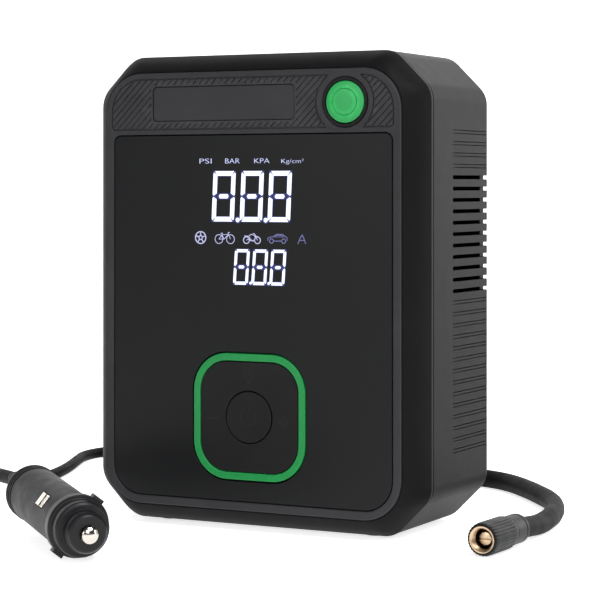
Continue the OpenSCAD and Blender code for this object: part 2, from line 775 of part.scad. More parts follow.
// Air hose
module air_hose_inner_run() {
    color("#232325") tube(hose_lead_route, hose_r, 10, [0, 1, 0], [0.2, 0.98, 0]);
}

module air_hose_coil() {
    color("#232325") translate([coil_x, coil_y, 0]) rotate_extrude()
        translate([hose_coil_r - hose_r, 0]) square([hose_d, 2 * hose_d + 0.4]);
}

module air_hose() {
    color("#232325") tube(hose_route, hose_r, 10, [1, 0, 0], [-0.044, -0.999, 0]);
}

// The chuck's own axis runs from the hose end towards its mouth
module on_chuck() {
    translate(chuck_pos) rotate([0, 0, chuck_turn]) rotate([90, 0, 0]) children();
}

module chuck_ferrule() {
    color("#2a2a2c") on_chuck() difference() {
        union() {
            cylinder(r = 5.6, h = ferrule_l);
            cylinder(r = 4.1, h = ferrule_l + 4);
        }
        translate([0, 0, ferrule_l + 1]) cylinder(r = 2, h = 4);
    }
}

module chuck_core() {
    color("#c8b090") on_chuck() difference() {
        union() {
            translate([0, 0, ferrule_l + 1]) cylinder(r = 1.95, h = 5);
            translate([0, 0, ferrule_l + 5]) cylinder(r = 2.25, h = chuck_l - 8.4);
        }
        translate([-3, -0.35, ferrule_l + chuck_l - 4.4]) cube([6, 0.7, 2]);
    }
}

module chuck_collar() {
    color("#2e2f32") on_chuck() difference() {
        union() {
            translate([0, 0, ferrule_l + 0.3]) cylinder(r = chuck_d / 2 - 0.45, h = chuck_l - 0.3);
            for (k = [0:29]) rotate([0, 0, 12 * k])
                translate([chuck_d / 2 - 0.9, -0.32, ferrule_l + 2]) cube([0.9, 0.64, chuck_l - 5]);
        }
        translate([0, 0, ferrule_l - 1]) cylinder(r = 4.5, h = 3);
        translate([0, 0, ferrule_l + 1.9]) cylinder(r = 5, h = chuck_l);
    }
}

module chuck_insert() {
    mouth = ferrule_l + chuck_l;
    color("#c8b090") on_chuck() difference() {
        translate([0, 0, ferrule_l + 1.9]) cylinder(r = 5, h = chuck_l - 1.9 + 0.2);
        translate([0, 0, ferrule_l]) cylinder(r = 4.4, h = chuck_l - 3.2 + 0.2);
        translate([0, 0, mouth - 3.4]) cylinder(r = valve_thread_r, h = 5);
    }
}

// Power lead
module power_cord_inner_run() {
    color("#19191b") tube(cord_lead_route, cord_r, 8, [0, 1, 0], [-0.2, 0.98, 0]);
}

module power_cord_coil() {
    color("#19191b") translate([lead_coil_x, lead_coil_y, 0]) rotate_extrude()
        translate([lead_coil_in, 0]) square([lead_coil_out - lead_coil_in, lead_coil_h]);
}

module power_cord() {
    color("#19191b") tube(cord_route, cord_r, 8, [-1, 0, 0], [0.764, -0.641, -0.07]);
}

// The plug's own axis runs from its tail flange towards its tip
module on_plug() {
    translate(plug_pos) rotate([0, 0, plug_turn]) rotate([0, 90 + plug_drop, 0])
        rotate([0, 0, 52]) children();
}

module plug_strain_relief() {
    color("#58585a") on_plug() translate([0, 0, -relief_l]) cylinder(r1 = 3.1, r2 = 4.4, h = relief_l);
}

module plug_body() {
    color("#48484b") on_plug() difference() {
        union() {
            cylinder(r = flange_r, h = 1.6);
            translate([0, 0, 1.6]) cylinder(r = plug_d / 2, h = barrel_l - 1.6);
            translate([0, 0, 2.8]) cylinder(r = flange_r, h = 0.9);
            translate([0, 0, 4.9]) cylinder(r = flange_r, h = 0.9);
        }
        translate([0, 0, 16]) cylinder(r = plug_d / 2 - plug_wall, h = barrel_l);
        for (s = [-1, 1]) translate([s > 0 ? 0 : -20, -contact_w / 2 - slack, contact_z - slack])
            cube([20, contact_w + 2 * slack, contact_l + 2 * slack]);
    }
}

// A spring contact: a raised pad in its slot, on a strip inside the barrel
module plug_contact(s) {
    strip_r = 7.3;
    strip_t = 0.8;
    proud = 1.1;
    color("#d8d4cc") on_plug() rotate([0, 0, s > 0 ? 0 : 180]) {
        translate([strip_r + strip_t - eps, -contact_w / 2, contact_z])
            cube([plug_d / 2 + proud - strip_r - strip_t + eps, contact_w, contact_l]);
        translate([strip_r, -contact_w / 2, contact_z - 2.5]) cube([strip_t, contact_w, contact_l + 5]);
    }
}

module plug_contact_left() {
    plug_contact(-1);
}

module plug_contact_right() {
    plug_contact(1);
}

module plug_nose() {
    color("#2c2c2f") on_plug() difference() {
        union() {
            translate([0, 0, barrel_l + 0.1]) cylinder(r = plug_d / 2 + 1.1, h = collar_l);
            translate([0, 0, nose_z - step_l - eps]) cylinder(r = nose_step_r, h = step_l);
            translate([0, 0, nose_z - 2 * eps]) cylinder(r = nose_r, h = nose_l);
            translate([0, 0, nose_z + nose_l - 3 * eps]) cylinder(r = nose_front_r, h = nose_front_l);
            for (s = [-1, 1]) translate([-lug_w / 2, s * (plug_d / 2 + 1) - lug_t / 2, barrel_l + 0.6])
                cube([lug_w, lug_t, 3.2]);
            translate([0, 0, barrel_l - 6]) cylinder(r = plug_d / 2 - plug_wall - 0.1, h = 7);
        }
        translate([0, 0, barrel_l - 7]) cylinder(r = 4.4, h = tip_wall_z - 1.5 - barrel_l + 7);
        translate([0, 0, barrel_l]) cylinder(r = tip_r + 0.15, h = 30);
    }
}

module plug_tip() {
    end = tip_wall_z;
    color("#d8d4cc") on_plug() {
        intersection() {
            translate([0, 0, end - 4]) cylinder(r = tip_r, h = 7.4);
            translate([0, 0, end - 1]) sphere(r = 4.4);
        }
        translate([0, 0, end - 4.4]) cylinder(r = 4.1, h = 2.4);
    }
}

module plug_fuse() {
    color("#d9c9a0") on_plug() translate([0, 0, barrel_l - 24]) {
        cylinder(r = 3.1, h = 6);
        translate([0, 0, 6 - eps]) cylinder(r = 2.8, h = 13);
        translate([0, 0, 18]) cylinder(r = 3.1, h = 6);
    }
}

module plug_tip_spring() {
    z0 = barrel_l + 0.6;
    z1 = tip_wall_z - 4.9;
    turns = 6;
    steps = turns * 8;
    color("silver") on_plug() skin([for (i = [0:steps]) let (a = -360 * turns * i / steps)
        let (out = [cos(a), sin(a), 0], mid = [0, 0, z0 + (z1 - z0) * i / steps])
        [for (k = [0:5]) mid + 3.2 * out + 0.4 * (cos(60 * k) * out - sin(60 * k) * [0, 0, 1])]]);
}

front_cover();
face_frame();
name_plate();
display_panel();
button_collar();
bleed_button();
bleed_button_spring();
bleed_valve();
light_ring();
control_pad();
power_button();
keypad_membrane();
rear_housing();
case_screws();
feet();
hose_gland();
cord_gland();
main_board();
board_screws();
display_module();
snap_domes();
pressure_sensor();
motor_can();
motor_end_cap();
motor_shaft();
pinion();
cooling_fan();
motor_leads();
pump_bracket();
pump_mounts();
pump_screws();
gear_axle();
drive_gear();
crank_pin();
connecting_rod();
wrist_pin();
piston();
piston_ring();
pump_cylinder();
cylinder_head();
outlet_tube();
release_tube();
air_hose_inner_run();
air_hose_coil();
air_hose();
chuck_ferrule();
chuck_core();
chuck_collar();
chuck_insert();
power_cord_inner_run();
power_cord_coil();
power_cord();
plug_strain_relief();
plug_body();
plug_contact_left();
plug_contact_right();
plug_nose();
plug_tip();
plug_fuse();
plug_tip_spring();
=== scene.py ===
"""Looks of a portable tyre inflator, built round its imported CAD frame.

Lengths are millimetres in the helpers and become metres where a mesh is made. X is right,
the front faces -Y and Z is up, with the origin on the floor under the middle of the case.
"""

import json
from math import asin, atan2, ceil, cos, degrees, hypot, pi, radians, sin, sqrt, tan, tau

import bmesh
import bpy
from mathutils import Matrix, Vector


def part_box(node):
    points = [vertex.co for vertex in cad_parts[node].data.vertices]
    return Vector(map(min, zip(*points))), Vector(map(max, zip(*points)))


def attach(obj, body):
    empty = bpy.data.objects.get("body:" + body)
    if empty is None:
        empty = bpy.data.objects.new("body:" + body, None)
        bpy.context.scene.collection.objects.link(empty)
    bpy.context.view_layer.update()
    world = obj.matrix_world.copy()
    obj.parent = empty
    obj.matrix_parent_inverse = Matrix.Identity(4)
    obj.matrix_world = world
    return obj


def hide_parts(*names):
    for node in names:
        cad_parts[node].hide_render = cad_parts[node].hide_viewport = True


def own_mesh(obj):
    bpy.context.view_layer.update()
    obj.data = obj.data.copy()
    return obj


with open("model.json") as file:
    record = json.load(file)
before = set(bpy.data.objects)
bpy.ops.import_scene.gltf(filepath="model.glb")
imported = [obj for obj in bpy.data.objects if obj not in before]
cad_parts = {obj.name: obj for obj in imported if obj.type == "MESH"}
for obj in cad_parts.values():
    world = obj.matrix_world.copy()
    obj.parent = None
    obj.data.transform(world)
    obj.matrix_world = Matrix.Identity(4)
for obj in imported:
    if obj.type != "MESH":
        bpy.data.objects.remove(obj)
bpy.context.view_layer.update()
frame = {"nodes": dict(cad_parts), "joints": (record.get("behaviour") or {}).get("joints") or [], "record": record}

MM = 0.001
SCENE = bpy.context.scene
SLOT_OF = {part["node"]: part["material_slot"] for part in frame["record"]["subparts"]}
JOINTS = {joint["name"]: joint for joint in frame["joints"]}


def box_mm(node):
    low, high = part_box(node)
    return low / MM, high / MM


def front_box(node):
    """The middle and the half sizes of a node's box, in X and Z."""
    low, high = box_mm(node)
    return (low.x + high.x) / 2, (low.z + high.z) / 2, (high.x - low.x) / 2, (high.z - low.z) / 2


# ---------------------------------------------------------------- outlines
def arc(cx, cy, r, a0, a1, n):
    step, start = radians(a1 - a0) / n, radians(a0)
    return [(cx + r * cos(start + step * i), cy + r * sin(start + step * i)) for i in range(n + 1)]


def in_quarters(corner):
    """An outline that repeats its upper right corner in all four quarters."""
    back = corner[::-1]
    return (corner + [(-x, y) for x, y in back] + [(-x, -y) for x, y in corner]
            + [(x, -y) for x, y in back])


def rounded(hx, hy, r, n=13):
    return in_quarters(arc(hx - r, hy - r, r, 0, 90, n))


def cut_corner(hx, hy, cut, r, n=6):
    """A rectangle with 45 degree corner cuts whose ends are rounded."""
    k = cut + r * (sqrt(2) - 1)
    return in_quarters(arc(hx - r, hy - k, r, 0, 45, n) + arc(hx - k, hy - r, r, 45, 90, n))


def circle(cx, cz, r, n=24):
    return arc(cx, cz, r, 0, 360 - 360 / n, n - 1)


def shifted(points, dx, dy):
    return [(x + dx, y + dy) for x, y in points]


def filleted(points, r, n=4, closed=False):
    """A line of (a, b) points with its corners rounded."""
    out = []
    count = len(points)
    for i, here in enumerate(points):
        p = Vector(here)
        a, b = Vector(points[i - 1]) - p, Vector(points[(i + 1) % count]) - p
        turn = pi - a.angle(b) if closed or 0 < i < count - 1 else 0
        if turn < 0.05:
            out.append(here)
            continue
        reach = min(r * tan(turn / 2), a.length * 0.48, b.length * 0.48)
        a, b = a.normalized(), b.normalized()
        centre = p + (a + b).normalized() * hypot(reach / tan(turn / 2), reach)
        start, end = p + a * reach - centre, p + b * reach - centre
        out += [tuple(centre + (start * sin((1 - k / n) * turn) + end * sin(k / n * turn)) / sin(turn))
                for k in range(n + 1)]
    return out


# ---------------------------------------------------------------- solids
def loft(rings, closed=False, caps=True):
    """Vertices and faces of a skin over rings that have the same number of points."""
    n, m = len(rings[0]), len(rings)
    verts = [p for ring in rings for p in ring]
    faces = []
    for i in range(m if closed else m - 1):
        a, b = i * n, (i + 1) % m * n
        faces += [(a + j, a + (j + 1) % n, b + (j + 1) % n, b + j) for j in range(n)]
    if caps and not closed:
        faces += [tuple(range(n))[::-1], tuple(range((m - 1) * n, m * n))]
    return verts, faces


def at_y(outline, y, zc=0.0):
    return [(x, y, zc + z) for x, z in outline]


def slab(outline, y0, y1):
    return loft([at_y(outline, y0), at_y(outline, y1)])


def plate(outer, y0, y1, zc=0.0, r0=0.3, r1=0.1, inner=None):
    """A plate drawn in X and Z, with a hole if inner is given.

    outer(inset) and inner(grow) give the outlines, and r0 and r1 round the front and back edges.
    """
    def skin(outline):
        front, back = ([(r * (1 - sin(pi / 2 * i / 4)), r * (1 - cos(pi / 2 * i / 4))) for i in range(5)]
                       for r in (r0, r1))
        return ([at_y(outline(inset), y0 + depth, zc) for inset, depth in front]
                + [at_y(outline(inset), y1 - depth, zc) for inset, depth in back[::-1]])

    return loft(skin(outer) + skin(inner)[::-1], closed=True) if inner else loft(skin(outer))


def hoop(radii, z, sides):
    """A level ring of points about Z, with one radius or one for each point."""
    radii = radii if isinstance(radii, list) else [radii] * sides
    return [(r * cos(tau * k / sides), r * sin(tau * k / sides), z) for k, r in enumerate(radii)]


def revolve(profile, sides=64, closed=False):
    """Vertices and faces of a line of (radius, height) points turned about Z."""
    verts, rows, faces = [], [], []
    for r, z in profile:
        points = hoop(r, z, sides) if r > 1e-6 else [(0, 0, z)]
        rows.append([len(verts) + k % len(points) for k in range(sides)])
        verts += points
    for i in range(len(rows) if closed else len(rows) - 1):
        a, b = rows[i], rows[(i + 1) % len(rows)]
        for k in range(sides):
            face = tuple(dict.fromkeys((a[k], a[(k + 1) % sides], b[(k + 1) % sides], b[k])))
            if len(face) > 2:
                faces.append(face)
    if not closed and profile[0][0] > 1e-6:
        faces.append(tuple(rows[0])[::-1])
    if not closed and profile[-1][0] > 1e-6:
        faces.append(tuple(rows[-1]))
    return verts, faces


def block(x0, x1, y0, y1, z0, z1):
    verts = [(x, y, z) for x in (x0, x1) for y in (y0, y1) for z in (z0, z1)]
    return verts, [(0, 1, 3, 2), (4, 6, 7, 5), (0, 4, 5, 1), (2, 3, 7, 6), (0, 2, 6, 4), (1, 5, 7, 3)]


def joined(parts):
    """One set of vertices and faces from several."""
    verts, faces = [], []
    for part_verts, part_faces in parts:
        base = len(verts)
        verts += part_verts
        faces += [tuple(base + i for i in face) for face in part_faces]
    return verts, faces


def placed(solid, matrix):
    verts, faces = solid
    return [tuple(matrix @ Vector(v)) for v in verts], faces


def along_y(x, z, y=0.0):
    """Turns a solid built about Z so that its height runs along +Y from (x, y, z)."""
    return Matrix.Translation((x, y, z)) @ Matrix.Rotation(-pi / 2, 4, "X")


def peg(x, z, r, y0, y1, chamfer=0.0):
    """A round bar along Y with chamfered ends."""
    length = y1 - y0
    profile = [(0, 0), (r - chamfer, 0), (r, chamfer), (r, length - chamfer), (r - chamfer, length),
               (0, length)]
    return placed(revolve(profile, 32), along_y(x, z, y0))


def pipe(points, r, sides=16):
    """A round tube through points."""
    rings = []
    side = None
    for i, here in enumerate(points):
        ahead = Vector(points[min(i + 1, len(points) - 1)]) - Vector(points[max(i - 1, 0)])
        ahead.normalize()
        side = side or ahead.orthogonal().normalized()
        side = (side - ahead * side.dot(ahead)).normalized()
        up = ahead.cross(side)
        rings.append([tuple(Vector(here) + r * (a * side + b * up)) for a, b, _ in hoop(1, 0, sides)])
    return loft(rings)


def linked(name, data):
    obj = bpy.data.objects.new(name, data)
    SCENE.collection.objects.link(obj)
    return obj


def build(name, solid):
    verts, faces = solid
    mesh = bpy.data.meshes.new(name)
    mesh.from_pydata([(x * MM, y * MM, z * MM) for x, y, z in verts], [], faces)
    work = bmesh.new()
    work.from_mesh(mesh)
    bmesh.ops.remove_doubles(work, verts=work.verts, dist=1e-7)
    bmesh.ops.recalc_face_normals(work, faces=work.faces)
    work.to_mesh(mesh)
    work.free()
    return linked(name, mesh)


def mesh_of(obj):
    """The mesh of an object with its modifiers applied."""
    return bpy.data.meshes.new_from_object(obj.evaluated_get(bpy.context.evaluated_depsgraph_get()))


def carve(obj, solid, operation="DIFFERENCE"):
    """Cuts a solid out of an object, or joins it on."""
    tool = build("tool", solid)
    change = obj.modifiers.new("carve", "BOOLEAN")
    change.object = tool
    change.operation = operation
    change.solver = "EXACT"
    change.use_self = True
    mesh = mesh_of(obj)
    obj.modifiers.clear()
    obj.data = mesh
    bpy.data.objects.remove(tool)


def ride(obj, body, stands_for):
    """Ties a piece to the body that it moves with, and hides the CAD nodes that it replaces."""
    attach(obj, body)
    if stands_for:
        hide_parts(*stands_for)


def dress(obj, slot, body="root", stands_for=(), angle=32, look=None):
    """Gives a piece its finish and shading, ties it to its body and hides the CAD nodes that it replaces."""
    mesh = obj.data
    mesh.materials.clear()
    mesh.materials.append(FINISHES[look or slot])
    mesh.shade_smooth()
    mesh.set_sharp_from_angle(angle=radians(angle))
    obj.modifiers.new("even_normals", "WEIGHTED_NORMAL").keep_sharp = True
    ride(obj, body, stands_for)


# ---------------------------------------------------------------- finishes
FINISHES = {}


def rgb(hex_code):
    """A linear colour from a screen colour such as '2fa553'."""
    parts = [int(hex_code[i:i + 2], 16) / 255 for i in (0, 2, 4)]
    return [c / 12.92 if c <= 0.04045 else ((c + 0.055) / 1.055) ** 2.4 for c in parts] + [1.0]


def tinted(colour, factor):
    return [min(1.0, c * factor) for c in colour[:3]] + [1.0]


class Nodes:
    """Short calls that build a material's nodes."""

    def __init__(self, name):
        self.material = bpy.data.materials.new(name)
        self.material.use_nodes = True
        self.tree = self.material.node_tree
        self.shader = self.tree.nodes["Principled BSDF"]
        self.where = self.add("TexCoord", {}, "Object")

    def put(self, node, inputs):
        """Sets a node's inputs: a socket is linked, and anything else is a value."""
        for key, value in inputs.items():
            if isinstance(value, bpy.types.NodeSocket):
                self.tree.links.new(value, node.inputs[key])
            else:
                node.inputs[key].default_value = value

    def add(self, kind, inputs, out=0, **settings):
        node = self.tree.nodes.new("ShaderNode" + kind)
        for key, value in settings.items():
            setattr(node, key, value)
        self.put(node, inputs)
        return node.outputs[out]

    def noise(self, size_mm, detail=2.0, stretch=None):
        """Noise whose grains measure about size_mm."""
        where = self.add("Mapping", {"Vector": self.where, "Scale": stretch}) if stretch else self.where
        return self.add("TexNoise", {"Vector": where, "Scale": 1 / (size_mm * MM), "Detail": detail}, "Fac")

    def spread(self, value, low, high, start=0.3, end=0.7):
        return self.add("MapRange", {"Value": value, "From Min": start, "From Max": end, "To Min": low,
                                     "To Max": high})

    def cloud(self, size_mm, detail, low=0.0, high=1.0):
        return self.spread(self.noise(size_mm, detail), low, high)

    def mix(self, factor, a, b):
        return self.add("Mix", {"Factor": factor, 6: a, 7: b}, 2, data_type="RGBA")

    def bump(self, height, depth_mm, strength=1.0, **under):
        return self.add("Bump", {"Height": height, "Distance": depth_mm * MM, "Strength": strength, **under})


def finish(slot, colour, rough, grain_mm=0.35, depth_mm=0.02, vary=0.12, rough_vary=0.06, metal=0.0,
           worn=0.35, specular=0.22, coat=0.0, stretch=None, thin=0.0, lit=("000000", 0.0)):
    """A moulded, rubber or metal finish with grain, blotches, edge wear and uneven gloss."""
    n = Nodes(slot)
    colour = rgb(colour)
    base = n.mix(n.cloud(22, 3.0), tinted(colour, 1 - vary), tinted(colour, 1 + vary))
    if worn:
        edges = n.spread(n.add("NewGeometry", {}, "Pointiness"), 0.0, 1.0, 0.52, 0.6)
        chafe = n.add("Math", {0: edges, 1: n.cloud(3.0, 4.0, 0.0, worn)}, operation="MULTIPLY")
        base = n.mix(chafe, base, tinted(colour, 2.4))
    grain = n.bump(n.noise(grain_mm, 2.0, stretch), depth_mm)
    n.put(n.shader, {"Base Color": base,
                     "Roughness": n.cloud(6.0, 4.0, rough - rough_vary, rough + rough_vary),
                     "Normal": n.bump(n.noise(14.0, 1.0), depth_mm * 0.4, 0.1, Normal=grain),
                     "Metallic": metal, "Specular IOR Level": specular, "Coat Weight": coat,
                     "Coat Roughness": 0.08, "Subsurface Weight": thin, "Subsurface Scale": 0.002})
    if lit[1]:
        n.put(n.shader, {"Emission Color": rgb(lit[0]), "Emission Strength": lit[1]})
    FINISHES[slot] = n.material


def glow(slot, colour, strength, flicker=0.12):
    """A lit display element, a little uneven like diffused LED light."""
    n = Nodes(slot)
    colour = rgb(colour)
    n.put(n.shader, {"Base Color": tinted(colour, 0.5), "Roughness": 0.4, "Emission Strength": strength,
                     "Emission Color": n.mix(n.cloud(2.5, 2.0), tinted(colour, 1 - flicker), colour)})
    FINISHES[slot] = n.material


finish("case_plastic", "141415", 0.5, 0.3, 0.022, 0.08, 0.015, specular=0.06)
finish("frame_plastic", "2d2d30", 0.55, 0.28, 0.03, worn=0.5)
finish("panel_gloss", "08090b", 0.4, 1.2, 0.003, 0.03, 0.012, worn=0)
finish("button_green", "2f9f55", 0.34, 0.4, 0.012, 0.05, worn=0.25, thin=0.15)
finish("light_guide", "27a04c", 0.32, 0.5, 0.008, 0.05, worn=0.1, thin=0.2)
finish("pad_plastic", "0b0b0c", 0.5, 0.2, 0.015, 0.08, worn=0.2)
finish("silicone", "b9b9b4", 0.5, 0.4, 0.02, 0.05, thin=0.3)
finish("foot_rubber", "19191a", 0.78, 0.25, 0.04, 0.15, worn=0.5)
finish("hose_rubber", "0c0c0d", 0.6, 0.22, 0.03, 0.14, specular=0.06)
finish("lead_pvc", "030304", 0.55, 0.3, 0.015, 0.12, specular=0.04)
finish("relief_grey", "3c3c3f", 0.6, 0.25, 0.03, 0.08)
finish("plug_plastic", "141416", 0.42, 0.25, 0.018, 0.08, specular=0.09)
finish("chuck_plastic", "121315", 0.42, 0.25, 0.02, 0.1, worn=0.6, specular=0.12)
finish("brass", "cbb091", 0.34, 0.25, 0.006, 0.12, 0.08, metal=1.0, stretch=(1, 6, 1))
finish("nickel", "cfc9bf", 0.2, 0.4, 0.005, 0.08, 0.06, metal=1.0)
finish("steel", "a8a9ad", 0.33, 0.3, 0.008, 0.1, 0.08, metal=1.0)
finish("zinc_case", "8c8e92", 0.42, 0.8, 0.015, 0.15, 0.1, metal=1.0)
finish("aluminium", "a5a7ab", 0.48, 0.4, 0.03, 0.12, 0.1, metal=1.0)
finish("board_green", "1d5a35", 0.3, 0.6, 0.01, 0.15, coat=0.3)
finish("display_white", "dcdcda", 0.45, 0.4, 0.01, 0.04)
finish("nylon_natural", "d8d0bd", 0.5, 0.4, 0.02, 0.05, thin=0.2)
finish("tube_silicone", "c6bb98", 0.35, 0.5, 0.01, 0.05, thin=0.4)
finish("seal_brown", "6b4326", 0.5, 0.3, 0.02, 0.1)
finish("wire_insulation", "8e2422", 0.4, 0.3, 0.01, 0.1)
finish("spring_steel", "9b9ca1", 0.3, 0.2, 0.006, 0.1, metal=1.0)
finish("fuse_ceramic", "d6c59b", 0.45, 0.3, 0.01, 0.06)
finish("pad_marks", "1b1b1d", 0.3, 0.3, 0.005, 0.05, worn=0)
finish("plug_cap", "1a1a1c", 0.36, 0.25, 0.015, 0.08, worn=0.4)
finish("lit_ring", "1f8344", 0.3, 0.5, 0.006, 0.05, worn=0, thin=0.2, lit=("22a04a", 0.06))
glow("lit_figures", "e6ebff", 0.97, 0.05)
glow("lit_units", "b9bfe6", 0.9)
glow("lit_symbols", "b4b6dc", 0.75)
glow("lit_dim", "6d70a6", 0.5)
glow("haze", "262c6c", 0.8, 0.3)


# ---------------------------------------------------------------- camera
CAMERA_AT = (0.4003, -0.7613, 0.1351)
CAMERA_YAW = 27.44
LENS = 127.84
SHIFT_UP = -0.1908


def add_camera():
    data = bpy.data.cameras.new("camera")
    data.sensor_width = 36
    data.lens = LENS
    data.shift_y = SHIFT_UP
    data.clip_start, data.clip_end = 0.01, 50
    camera = linked("camera", data)
    camera.location = CAMERA_AT
    camera.rotation_euler = (radians(90), 0, radians(CAMERA_YAW))
    SCENE.camera = camera


add_camera()


# ---------------------------------------------------------------- hose and lead
def curve_piece(name, points, diameter, slot, nodes):
    data = bpy.data.curves.new(name, "CURVE")
    data.dimensions = "3D"
    data.bevel_depth = diameter / 2
    data.bevel_resolution = 5
    data.resolution_u = 6
    data.use_fill_caps = True
    spline = data.splines.new("BEZIER")
    spline.bezier_points.add(len(points) - 1)
    for knot, point in zip(spline.bezier_points, points):
        knot.co = point
        knot.handle_left_type = knot.handle_right_type = "AUTO"
    data.materials.append(FINISHES[slot])
    obj = linked(name, data)
    ride(obj, "root", nodes)
    return obj


def smooth_step(t):
    t = max(0.0, min(1.0, t))
    return t * t * (3 - 2 * t)


# Lengths in metres from here to the end of the section
HOSE_D = 0.008
HOSE_COIL_SHIFT = 0.008
HOSE_START = [
    (-0.040, 0.04465, 0.018), (-0.040, 0.053, 0.0176), (-0.0395, 0.063, 0.0154), (-0.0378, 0.075, 0.013)]
HOSE_RUN = [
    (0.007, 0.1246, 0.004), (0.017, 0.1258, 0.004), (0.027, 0.1255, 0.004), (0.036, 0.123, 0.004),
    (0.048, 0.116, 0.004), (0.062, 0.102, 0.004), (0.075, 0.086, 0.004), (0.085, 0.072, 0.004),
    (0.0935, 0.054, 0.004), (0.098, 0.040, 0.004), (0.101, 0.026, 0.004), (0.1026, 0.0115, 0.0042),
    (0.1033, -0.001, 0.0052), (0.1037, -0.0133, 0.0064)]
LEAD_D = 0.005
LEAD_START = [
    (-0.060, 0.05865, 0.018), (-0.0603, 0.067, 0.0166), (-0.0618, 0.078, 0.0116), (-0.0652, 0.090, 0.006),
    (-0.070, 0.101, 0.0032), (-0.0745, 0.113, 0.0025)]
LEAD_RUN = [
    (-0.125, 0.1703, 0.017), (-0.136, 0.1686, 0.0146), (-0.148, 0.164, 0.0105), (-0.161, 0.155, 0.0055),
    (-0.171, 0.143, 0.0028), (-0.176, 0.130, 0.0025), (-0.1745, 0.116, 0.0025), (-0.169, 0.102, 0.0025),
    (-0.1615, 0.085, 0.0025), (-0.1545, 0.067, 0.0025), (-0.1495, 0.050, 0.0026), (-0.145, 0.032, 0.0034),
    (-0.140, 0.014, 0.0054), (-0.1345, -0.003, 0.0086), (-0.1275, -0.020, 0.0124), (-0.1165, -0.0365, 0.0157),
    (-0.1053, -0.0483, 0.0173), (-0.09317, -0.0579, 0.01781)]


def hose_coil():
    """One turn and a fifth, clockwise seen from above: high where it crosses the start, then on the floor."""
    low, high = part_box("air_hose_coil")
    cx, cy = (low.x + high.x) / 2 - HOSE_COIL_SHIFT, (low.y + high.y) / 2
    r = (high.x - low.x) / 2 - HOSE_D / 2 - 0.0015
    top = high.z - HOSE_D / 2 - 0.0002
    points = []
    start, stop, steps = 165, -270, 26
    for i in range(steps + 1):
        a = start + (stop - start) * i / steps
        z = top + (HOSE_D / 2 - top) * smooth_step((92 - a) / 75)
        points.append((cx + r * cos(radians(a)), cy + r * sin(radians(a)), z))
    return points


def lead_coil():
    """Four layers of turns, wound outside to inside and back, counter-clockwise seen from above."""
    low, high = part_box("power_cord_coil")
    cx, cy = (low.x + high.x) / 2, (low.y + high.y) / 2
    outer = (high.x - low.x) / 2 - LEAD_D / 2
    inner = outer / 2
    layers, turns, per_turn = 4, 15.25, 16
    per_layer = turns / layers
    count = round(turns * per_turn)
    points = []
    for i in range(count + 1):
        turn = turns * i / count
        layer = min(layers - 1, int(turn / per_layer))
        share = turn / per_layer - layer
        inward = share if layer % 2 == 0 else 1 - share
        r = outer + (inner - outer) * inward
        climb = smooth_step((share - 0.9) / 0.1) if layer < layers - 1 else 0.0
        points.append((cx + r * cos(tau * turn), cy + r * sin(tau * turn), LEAD_D * (0.5 + layer + climb)))
    return points


PLUG_JOINT = JOINTS["plug_nose_unscrew"]
PLUG_AXIS = Vector(PLUG_JOINT["axis"]).normalized()
INSIDE_PLUG = [tuple(Vector(PLUG_JOINT["pos_m"]) - PLUG_AXIS * back) for back in (0.084, 0.072)]
HOSE_POINTS = HOSE_START + hose_coil() + HOSE_RUN
LEAD_POINTS = LEAD_START + lead_coil() + LEAD_RUN + INSIDE_PLUG
hose = curve_piece("hose_line", HOSE_POINTS, HOSE_D, "hose_rubber",
                   ["air_hose_inner_run", "air_hose_coil", "air_hose"])
lead = curve_piece("power_lead", LEAD_POINTS, LEAD_D, "lead_pvc",
                   ["power_cord_inner_run", "power_cord_coil", "power_cord"])


# ---------------------------------------------------------------- case
cover_low, cover_high = box_mm("front_cover")
rear_low, rear_high = box_mm("rear_housing")
trim_low, trim_high = box_mm("face_frame")
panel_low, panel_high = box_mm("display_panel")
HALF_W = cover_high.x
MID_Z, HALF_H = front_box("front_cover")[1::2]
Y_FACE = trim_low.y
Y_DECK = cover_low.y
Y_PART = rear_low.y
Y_LIP = Y_PART - 1.6
Y_BACK = rear_high.y
TRIM_BACK = trim_high.y
DECK_BACK = TRIM_BACK + 2
WALL = 2.4
CORNER_CUT = 15.5
CORNER_R = 10
LIP_R = 1.1
BEVEL_BOW = 0.8
TRIM_HW = trim_high.x
TRIM_HH = front_box("face_frame")[3]
TRIM_R = 16
LEDGE = 0.8
SLACK = 0.3
TOWERS = [(x, z) for x in (-62, 62) for z in (40, 168)]
POSTS = [(x, z) for x in (-45, 45) for z in (21, 151)]
MOUNTS = [(x, z) for x in (14, 36) for z in (72, 134)]
VENTS = 29
OPEN_VENTS = range(4, 15)
VENT_PITCH = 4.42
VENT_TOP = MID_Z + 62
VENT_START = Y_LIP + 20.4
RING_R = 14.7
RING_BAND = 2.85
RING_GAP = 0.55
RING_HW = box_mm("light_ring")[1].x
PAD_Z = front_box("light_ring")[1]
BLEED_X, BLEED_Z, COLLAR_R = front_box("button_collar")[:3]


def case_outline(inset):
    cut = CORNER_CUT - inset * (2 - sqrt(2))
    return cut_corner(HALF_W - inset, HALF_H - inset, cut, max(CORNER_R - inset, 1))


def case_ring(inset, y):
    return at_y(case_outline(inset), y, MID_Z)


def trim_outline(inset):
    return shifted(rounded(TRIM_HW - inset, TRIM_HH - inset, TRIM_R - inset), 0, MID_Z)


def ring_outline(inset, n=16):
    return shifted(rounded(RING_HW - inset, RING_HW - inset, RING_R - inset, n), 0, PAD_Z)


def lip_ring(turn):
    """The lip's rounded edge, turned from the side of the case towards the front."""
    return case_ring(LIP_R * (1 - cos(turn)), Y_LIP - LIP_R * sin(turn))


